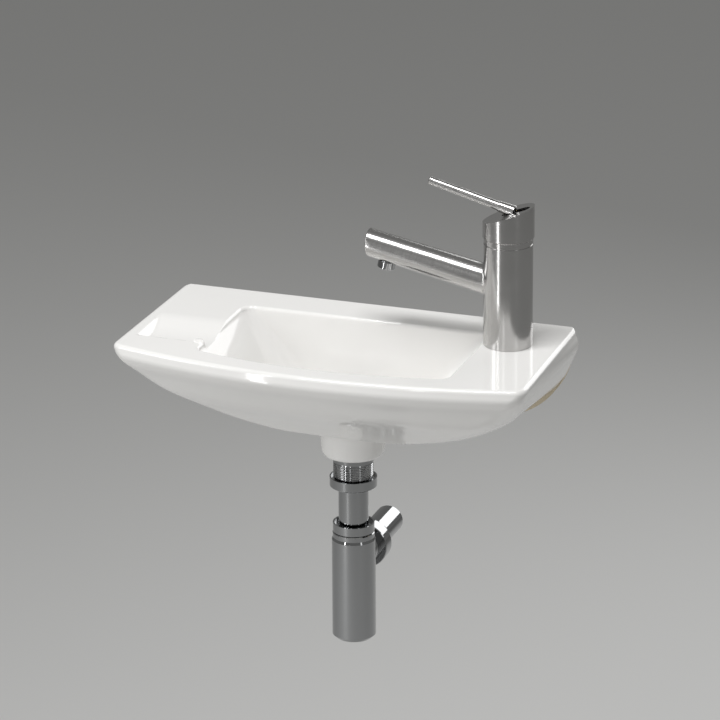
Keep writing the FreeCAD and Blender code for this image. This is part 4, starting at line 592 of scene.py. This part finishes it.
def hollow_rings(side, inner, deck):
    """The hollow under one deck: rounded quads at four depths, blended in straight lines."""
    small, wide = 3.5, 30
    rings = []
    for depth, shift, outer, front_outer, front in HOLLOW:
        near = inner - side * shift
        ring = rounded_polygon([(near, -FLANGE, small), (near, -front, small),
                                (side * (HALF_REAR - front_outer), -front, wide),
                                (side * (HALF_REAR - outer), -FLANGE, small)], 10)
        rings.append(np.column_stack([ring, np.full(len(ring), RIM_Z - (depth or deck))]))
    return np.stack(rings)


def level_hole(radius, x, y, top, bottom, count=96):
    """A round hole along the upright axis."""
    rings = turned_piece([(radius, top), (radius, bottom)], count)
    rings[..., 0] += x
    rings[..., 1] += y
    return rings


def facing(vertices, faces):
    """Faces turned so that the closed mesh has a positive volume."""
    quads = np.array([f if len(f) == 4 else (*f, f[-1]) for f in faces])
    a, b, c, d = (vertices[quads[:, i]] for i in range(4))
    volume = np.einsum("ij,ij->", a, np.cross(b, c)) + np.einsum("ij,ij->", a, np.cross(c, d))
    return faces if volume > 0 else [tuple(reversed(f)) for f in faces]


def cut_or_join(base, name, rings, operation, material):
    """Joins a closed form to the ware or cuts it out, and takes the form away again."""
    vertices, faces = boxed(rings)
    tool = new_piece(name, vertices, facing(vertices, faces), material)
    modifier = base.modifiers.new(name, "BOOLEAN")
    modifier.operation = operation
    modifier.object = tool
    modifier.solver = "MANIFOLD"
    modifier.material_mode = "TRANSFER"
    return tool


class OBJECT_OT_basin_ware(bpy.types.Operator):
    """The glazed basin as one smooth skin with its flange, boss, hollows and holes"""

    bl_idname = "object.basin_ware"
    bl_label = "Glazed basin"

    def execute(self, context):
        sizes = context.scene.basin_ware
        glaze, clay = finish("glazed_ceramic"), finish("bare_clay")
        vertices, faces = ware_shell(sizes)
        piece = new_piece("basin_ware", vertices, facing(vertices, faces), glaze)
        back = rounded_polygon([(-FLANGE_HALF, RIM_Z - FLANGE_TOP, 0.5),
                                (-FLANGE_HALF, RIM_Z - BOTTOM, FLANGE_CORNER),
                                (FLANGE_HALF, RIM_Z - BOTTOM, FLANGE_CORNER),
                                (FLANGE_HALF, RIM_Z - FLANGE_TOP, 0.5)], 28)
        flange = np.stack([np.insert(back, 1, y, 1) for y in (WALL_Y, -FLANGE)])
        boss = turned_piece(eased([(BOSS + sizes.foot_fillet / MM, RIM_Z - SEAT),
                                   (BOSS, RIM_Z - BOTTOM), (BOSS_NARROW, RIM_Z - BOSS_LOW),
                                   (24.0, RIM_Z - BOSS_LOW)], 8.0), 120) + [0, WASTE_Y, 0]
        tools = [
            ("wall_flange", flange, "UNION", clay),
            ("outlet_boss", boss, "UNION", glaze),
            ("right_hollow", hollow_rings(1, RIGHT_INNER, RIGHT_DECK), "DIFFERENCE", glaze),
            ("left_hollow", hollow_rings(-1, LEFT_INNER, LEFT_DECK), "DIFFERENCE", glaze),
            ("tap_hole", level_hole(17.5, TAP_X, TAP_Y, 70, 10), "DIFFERENCE", glaze),
            ("waste_seat", level_hole(32.6, 0, WASTE_Y, -20, RIM_Z - SEAT), "DIFFERENCE",
             glaze),
            ("outlet", level_hole(22.5, 0, WASTE_Y, -20, -100), "DIFFERENCE", glaze),
            ("boss_recess", level_hole(28.5, 0, WASTE_Y, RIM_Z - 131, -100), "DIFFERENCE",
             clay),
        ]
        for name, x in (("left_fixing", -FIXING_X), ("right_fixing", FIXING_X)):
            hole = level_hole(8.0, x, 0, 10, -30, 48)
            tools.append((name, hole[..., [0, 2, 1]], "DIFFERENCE", clay))
        cutters = [cut_or_join(piece, *tool) for tool in tools]
        graph = context.evaluated_depsgraph_get()
        baked = bpy.data.meshes.new_from_object(piece.evaluated_get(graph))
        if len(baked.vertices) < len(vertices) // 2:
            raise RuntimeError("the ware's joins and cuts did not come out")
        piece.modifiers.clear()
        rough = piece.data
        piece.data = baked
        bpy.data.meshes.remove(rough)
        for cutter in cutters:
            mesh = cutter.data
            bpy.data.objects.remove(cutter)
            bpy.data.meshes.remove(mesh)
        self.bare_back(baked, [m.name for m in baked.materials].index(clay.name))
        baked.shade_smooth()
        baked.set_sharp_from_angle(angle=math.radians(32.0))
        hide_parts("basin_body")
        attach(piece, "basin")
        return {"FINISHED"}

    @staticmethod
    def bare_back(mesh, slot):
        """Leaves the faces that lie in the wall's plane unglazed."""
        count = len(mesh.polygons)
        centres = np.empty(count * 3)
        slots = np.empty(count, dtype=np.int32)
        mesh.polygons.foreach_get("center", centres)
        mesh.polygons.foreach_get("material_index", slots)
        slots[centres[1::3] > -0.0001] = slot
        mesh.polygons.foreach_set("material_index", slots)


# ---------------------------------------------------------------- tap and trap

def spout_rings(weld, ease, count=128):
    """The spout as rings: a cone along a rising axis, welded to the column, cut plumb in front.

    A ring's point is the axis plus the cone's radius about it. The weld is a quadratic curve
    from the column, through the line where cone and column meet, to the cone. The plumb end is
    the plane of one x, and its edge is a quadratic curve as well.
    """
    rise = math.radians(SPOUT_RISE)
    sine, cosine = math.sin(rise), math.cos(rise)
    angle = np.linspace(0, 2 * math.pi, count, endpoint=False)
    height = RIM_Z + SPOUT_Z

    def point(distance, radius):
        up = radius * np.sin(angle)
        return np.stack([TAP_X - distance * cosine + up * sine, TAP_Y + radius * np.cos(angle),
                         height + distance * sine + up * cosine], -1)

    def meets(radius, column):
        across = np.sqrt(column ** 2 - (radius * np.cos(angle)) ** 2)
        return (across + radius * np.sin(angle) * sine) / cosine

    def cone(distance):
        share = (distance - SPOUT_START) / (SPOUT_END - SPOUT_START)
        return point(distance, SPOUT_ROOT + (SPOUT_TIP - SPOUT_ROOT) * share)

    def curve(a, b, c, steps):
        t = np.linspace(0, 1, steps)[:, None, None]
        return (1 - t) ** 2 * a + 2 * t * (1 - t) * b + t ** 2 * c

    joint = meets(SPOUT_ROOT, COLUMN)
    welded, flat = SPOUT_ROOT + weld, SPOUT_TIP - ease
    end = (TAP_X + SPOUT_TIP * np.sin(angle) * sine - SPOUT_FACE) / cosine
    face = (TAP_X + flat * np.sin(angle) * sine - SPOUT_FACE) / cosine
    t = np.linspace(0, 1, 26)[1:-1, None, None]
    near, far = cone(joint + weld), cone(end - ease)
    rings = np.concatenate([
        point(meets(welded, COLUMN_BORE), welded)[None],
        curve(point(meets(welded, COLUMN), welded), cone(joint), near, 7),
        near * (1 - t) + far * t,
        curve(far, cone(end), point(face, flat), 6)])
    inside = COLUMN_BORE - 0.2
    first = [TAP_X - inside, TAP_Y, height + inside * sine / cosine]
    last = [SPOUT_FACE, TAP_Y, height + (TAP_X - SPOUT_FACE) * sine / cosine]
    return capped(rings, first, last)


class OBJECT_OT_basin_spout(bpy.types.Operator):
    """The tapering spout with its weld at the column and its plumb end"""

    bl_idname = "object.basin_spout"
    bl_label = "Spout"

    def execute(self, context):
        sizes = context.scene.basin_tap
        vertices, faces = spout_rings(sizes.weld / MM, sizes.end_ease / MM)
        piece = new_piece("tap_spout_skin", vertices, facing(vertices, faces),
                          finish("satin_spout"), 40.0)
        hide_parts("tap_spout")
        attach(piece, "basin")
        return {"FINISHED"}


class OBJECT_OT_basin_thread(bpy.types.Operator):
    """The screw thread that shows on the waste's tail between its two nuts"""

    bl_idname = "object.basin_thread"
    bl_label = "Waste thread"

    def execute(self, context):
        sizes = context.scene.basin_tap
        pitch, rise = sizes.pitch / MM, sizes.thread_rise / MM
        # a helical ridge: the radius is a rounded saw of the height less the turn's share
        top, bottom, count = -91.8, -109.8, 96
        height = np.arange(top, bottom, -pitch / 8)[:, None]
        angle = np.linspace(0, 2 * math.pi, count, endpoint=False)[None, :]
        phase = (height / pitch + angle / (2 * math.pi)) % 1.0
        ridge = rise * np.clip(1.4 * (1 - np.abs(2 * phase - 1)), 0, 1)
        fade = np.clip(np.minimum(top - height, height - bottom) / pitch, 0, 1)
        radius = 20.85 + ridge * fade
        rings = np.stack([radius * np.cos(angle), radius * np.sin(angle) + WASTE_Y,
                          height + 0 * angle], -1)
        inner = turned_piece([(20.2, bottom), (20.2, top)], count) + [0, WASTE_Y, 0]
        rings = np.concatenate([rings, inner])
        vertices = rings.reshape(-1, 3)
        faces = grid_faces(len(rings), count, True).tolist()
        piece = new_piece("waste_tail_thread", vertices, facing(vertices, faces),
                          finish("chrome"), 60.0)
        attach(piece, "basin")
        return {"FINISHED"}


class OBJECT_OT_basin_finishes(bpy.types.Operator):
    """The finishes on every piece that keeps its own solid"""

    bl_idname = "object.basin_finishes"
    bl_label = "Finishes"

    def execute(self, context):
        for name, node in frame["nodes"].items():
            if name not in SLOTS:
                raise RuntimeError("no finish is named for " + name)
            slot = SLOTS[name]
            if name in ("tap_spout", "lever_rod"):
                slot = "satin_spout"
            for place in node.material_slots:
                place.material = finish(slot)
        return {"FINISHED"}


# ---------------------------------------------------------------- stage

# name, place in metres, width and height in metres, and power in watts; the strip and the edge
# are narrow so that they leave thin bright lines along the metal
LIGHTS = (("overhead", (-0.05, -0.75, 2.0), 1.3, 0.5, 30.0),
          ("key", (-1.9, -1.7, 1.3), 0.8, 1.4, 14.5),
          ("strip", (-1.05, -2.2, 0.15), 0.1, 1.9, 9.0),
          ("edge", (0.05, -2.4, 0.9), 0.1, 1.2, 2.0),
          ("fill", (2.2, -1.4, 0.5), 0.3, 1.6, 2.5),
          ("rear", (0.6, 2.2, 1.0), 1.6, 1.6, 20.0))
LIT = (0.0, -0.1, 0.0)
SEEN = np.array([16.75, -110.0, 32.5])          # where the camera looks


def soft_light(name, place, width, height, power):
    """A rectangular soft light that points at the basin."""
    data = bpy.data.lights.new(name, "AREA")
    data.shape = "RECTANGLE"
    data.size, data.size_y, data.energy = width, height, power
    light = bpy.data.objects.new(name, data)
    bpy.context.scene.collection.objects.link(light)
    light.location = place
    direction = mathutils.Vector(LIT) - mathutils.Vector(place)
    light.rotation_euler = direction.to_track_quat("-Z", "Y").to_euler()


def place_camera(sizes):
    """The camera far away on a long lens, turned, raised and rolled about the basin's middle."""
    turn, rise, roll = sizes.camera_turn, sizes.camera_rise, sizes.camera_roll
    back = np.array([math.sin(turn) * math.cos(rise), -math.cos(turn) * math.cos(rise),
                     math.sin(rise)])
    right = np.cross(-back, [0, 0, 1])
    right /= np.linalg.norm(right)
    up = np.cross(right, -back)
    across = right * math.cos(roll) + up * math.sin(roll)
    upright = up * math.cos(roll) - right * math.sin(roll)
    place = SEEN * MM + back * sizes.camera_distance
    data = bpy.data.cameras.new("camera")
    data.lens, data.sensor_width, data.clip_end = 250.0, 36.0, 60.0
    camera = bpy.data.objects.new("camera", data)
    bpy.context.scene.collection.objects.link(camera)
    rows = [[across[i], upright[i], back[i], place[i]] for i in range(3)] + [[0, 0, 0, 1]]
    camera.matrix_world = mathutils.Matrix(rows)
    bpy.context.scene.camera = camera


class OBJECT_OT_basin_stage(bpy.types.Operator):
    """Pale floor, soft lights, a plain world and the camera"""

    bl_idname = "object.basin_stage"
    bl_label = "Stage"

    def execute(self, context):
        sizes = context.scene.basin_stage
        place_camera(sizes)
        base = list(sizes.floor)
        ground, tree, shader = new_material("matt_paper_floor", base, 0.9)
        grain = noise(tree, object_place(tree), 1 / 0.002)      # 2 mm paper grain
        tint(tree, shader, grain, shade(base, 0.985), base)
        floor = bpy.data.meshes.new("floor")
        half_x, half_y, low = 6.0, 8.0, -1.0
        floor.from_pydata([(-half_x, -half_y, low), (half_x, -half_y, low),
                           (half_x, half_y, low), (-half_x, half_y, low)], [], [(0, 1, 2, 3)])
        floor.materials.append(ground)
        ground_object = bpy.data.objects.new("floor", floor)
        context.scene.collection.objects.link(ground_object)
        for name, place, width, height, power in LIGHTS:
            soft_light(name, place, width, height, power)
        world = bpy.data.worlds.new("world")
        world.use_nodes = True
        background = world.node_tree.nodes["Background"]
        background.inputs["Color"].default_value = linear("#E6E6E4")
        background.inputs["Strength"].default_value = 0.27
        context.scene.world = world
        context.scene.view_settings.view_transform = "Standard"
        return {"FINISHED"}


class VIEW3D_PT_basin(bpy.types.Panel):
    """The basin's steps in the order that they run"""

    bl_idname = "VIEW3D_PT_basin"
    bl_label = "Wall Hung Basin"
    bl_space_type = "VIEW_3D"
    bl_region_type = "UI"
    bl_category = "Basin"

    def draw(self, context):
        for step in STEPS:
            self.layout.operator(step.bl_idname)
        for owner, names in ((context.scene.basin_ware, WareSizes),
                             (context.scene.basin_tap, TapSizes),
                             (context.scene.basin_finishes, FinishColours),
                             (context.scene.basin_stage, StageSizes)):
            box = self.layout.box()
            for name in names.__annotations__:
                box.prop(owner, name)


STEPS = (OBJECT_OT_basin_stage, OBJECT_OT_basin_ware, OBJECT_OT_basin_spout,
         OBJECT_OT_basin_thread, OBJECT_OT_basin_finishes)
GROUPS = {"basin_ware": WareSizes, "basin_tap": TapSizes, "basin_finishes": FinishColours,
          "basin_stage": StageSizes}


def register():
    """Registers the groups, the steps and the panel."""
    for name, group in GROUPS.items():
        bpy.utils.register_class(group)
        setattr(bpy.types.Scene, name, bpy.props.PointerProperty(type=group))
    for item in (*STEPS, VIEW3D_PT_basin):
        bpy.utils.register_class(item)


def unregister():
    """Takes the panel, the steps and the groups away again."""
    for item in (VIEW3D_PT_basin, *reversed(STEPS)):
        bpy.utils.unregister_class(item)
    for name, group in GROUPS.items():
        delattr(bpy.types.Scene, name)
        bpy.utils.unregister_class(group)


def main():
    """Runs every step in order."""
    register()
    for step in STEPS:
        group, name = step.bl_idname.split(".")
        result = getattr(getattr(bpy.ops, group), name)()
        if "FINISHED" not in result:
            raise RuntimeError(step.bl_label + " did not finish")


if __name__ == "__main__":
    main()
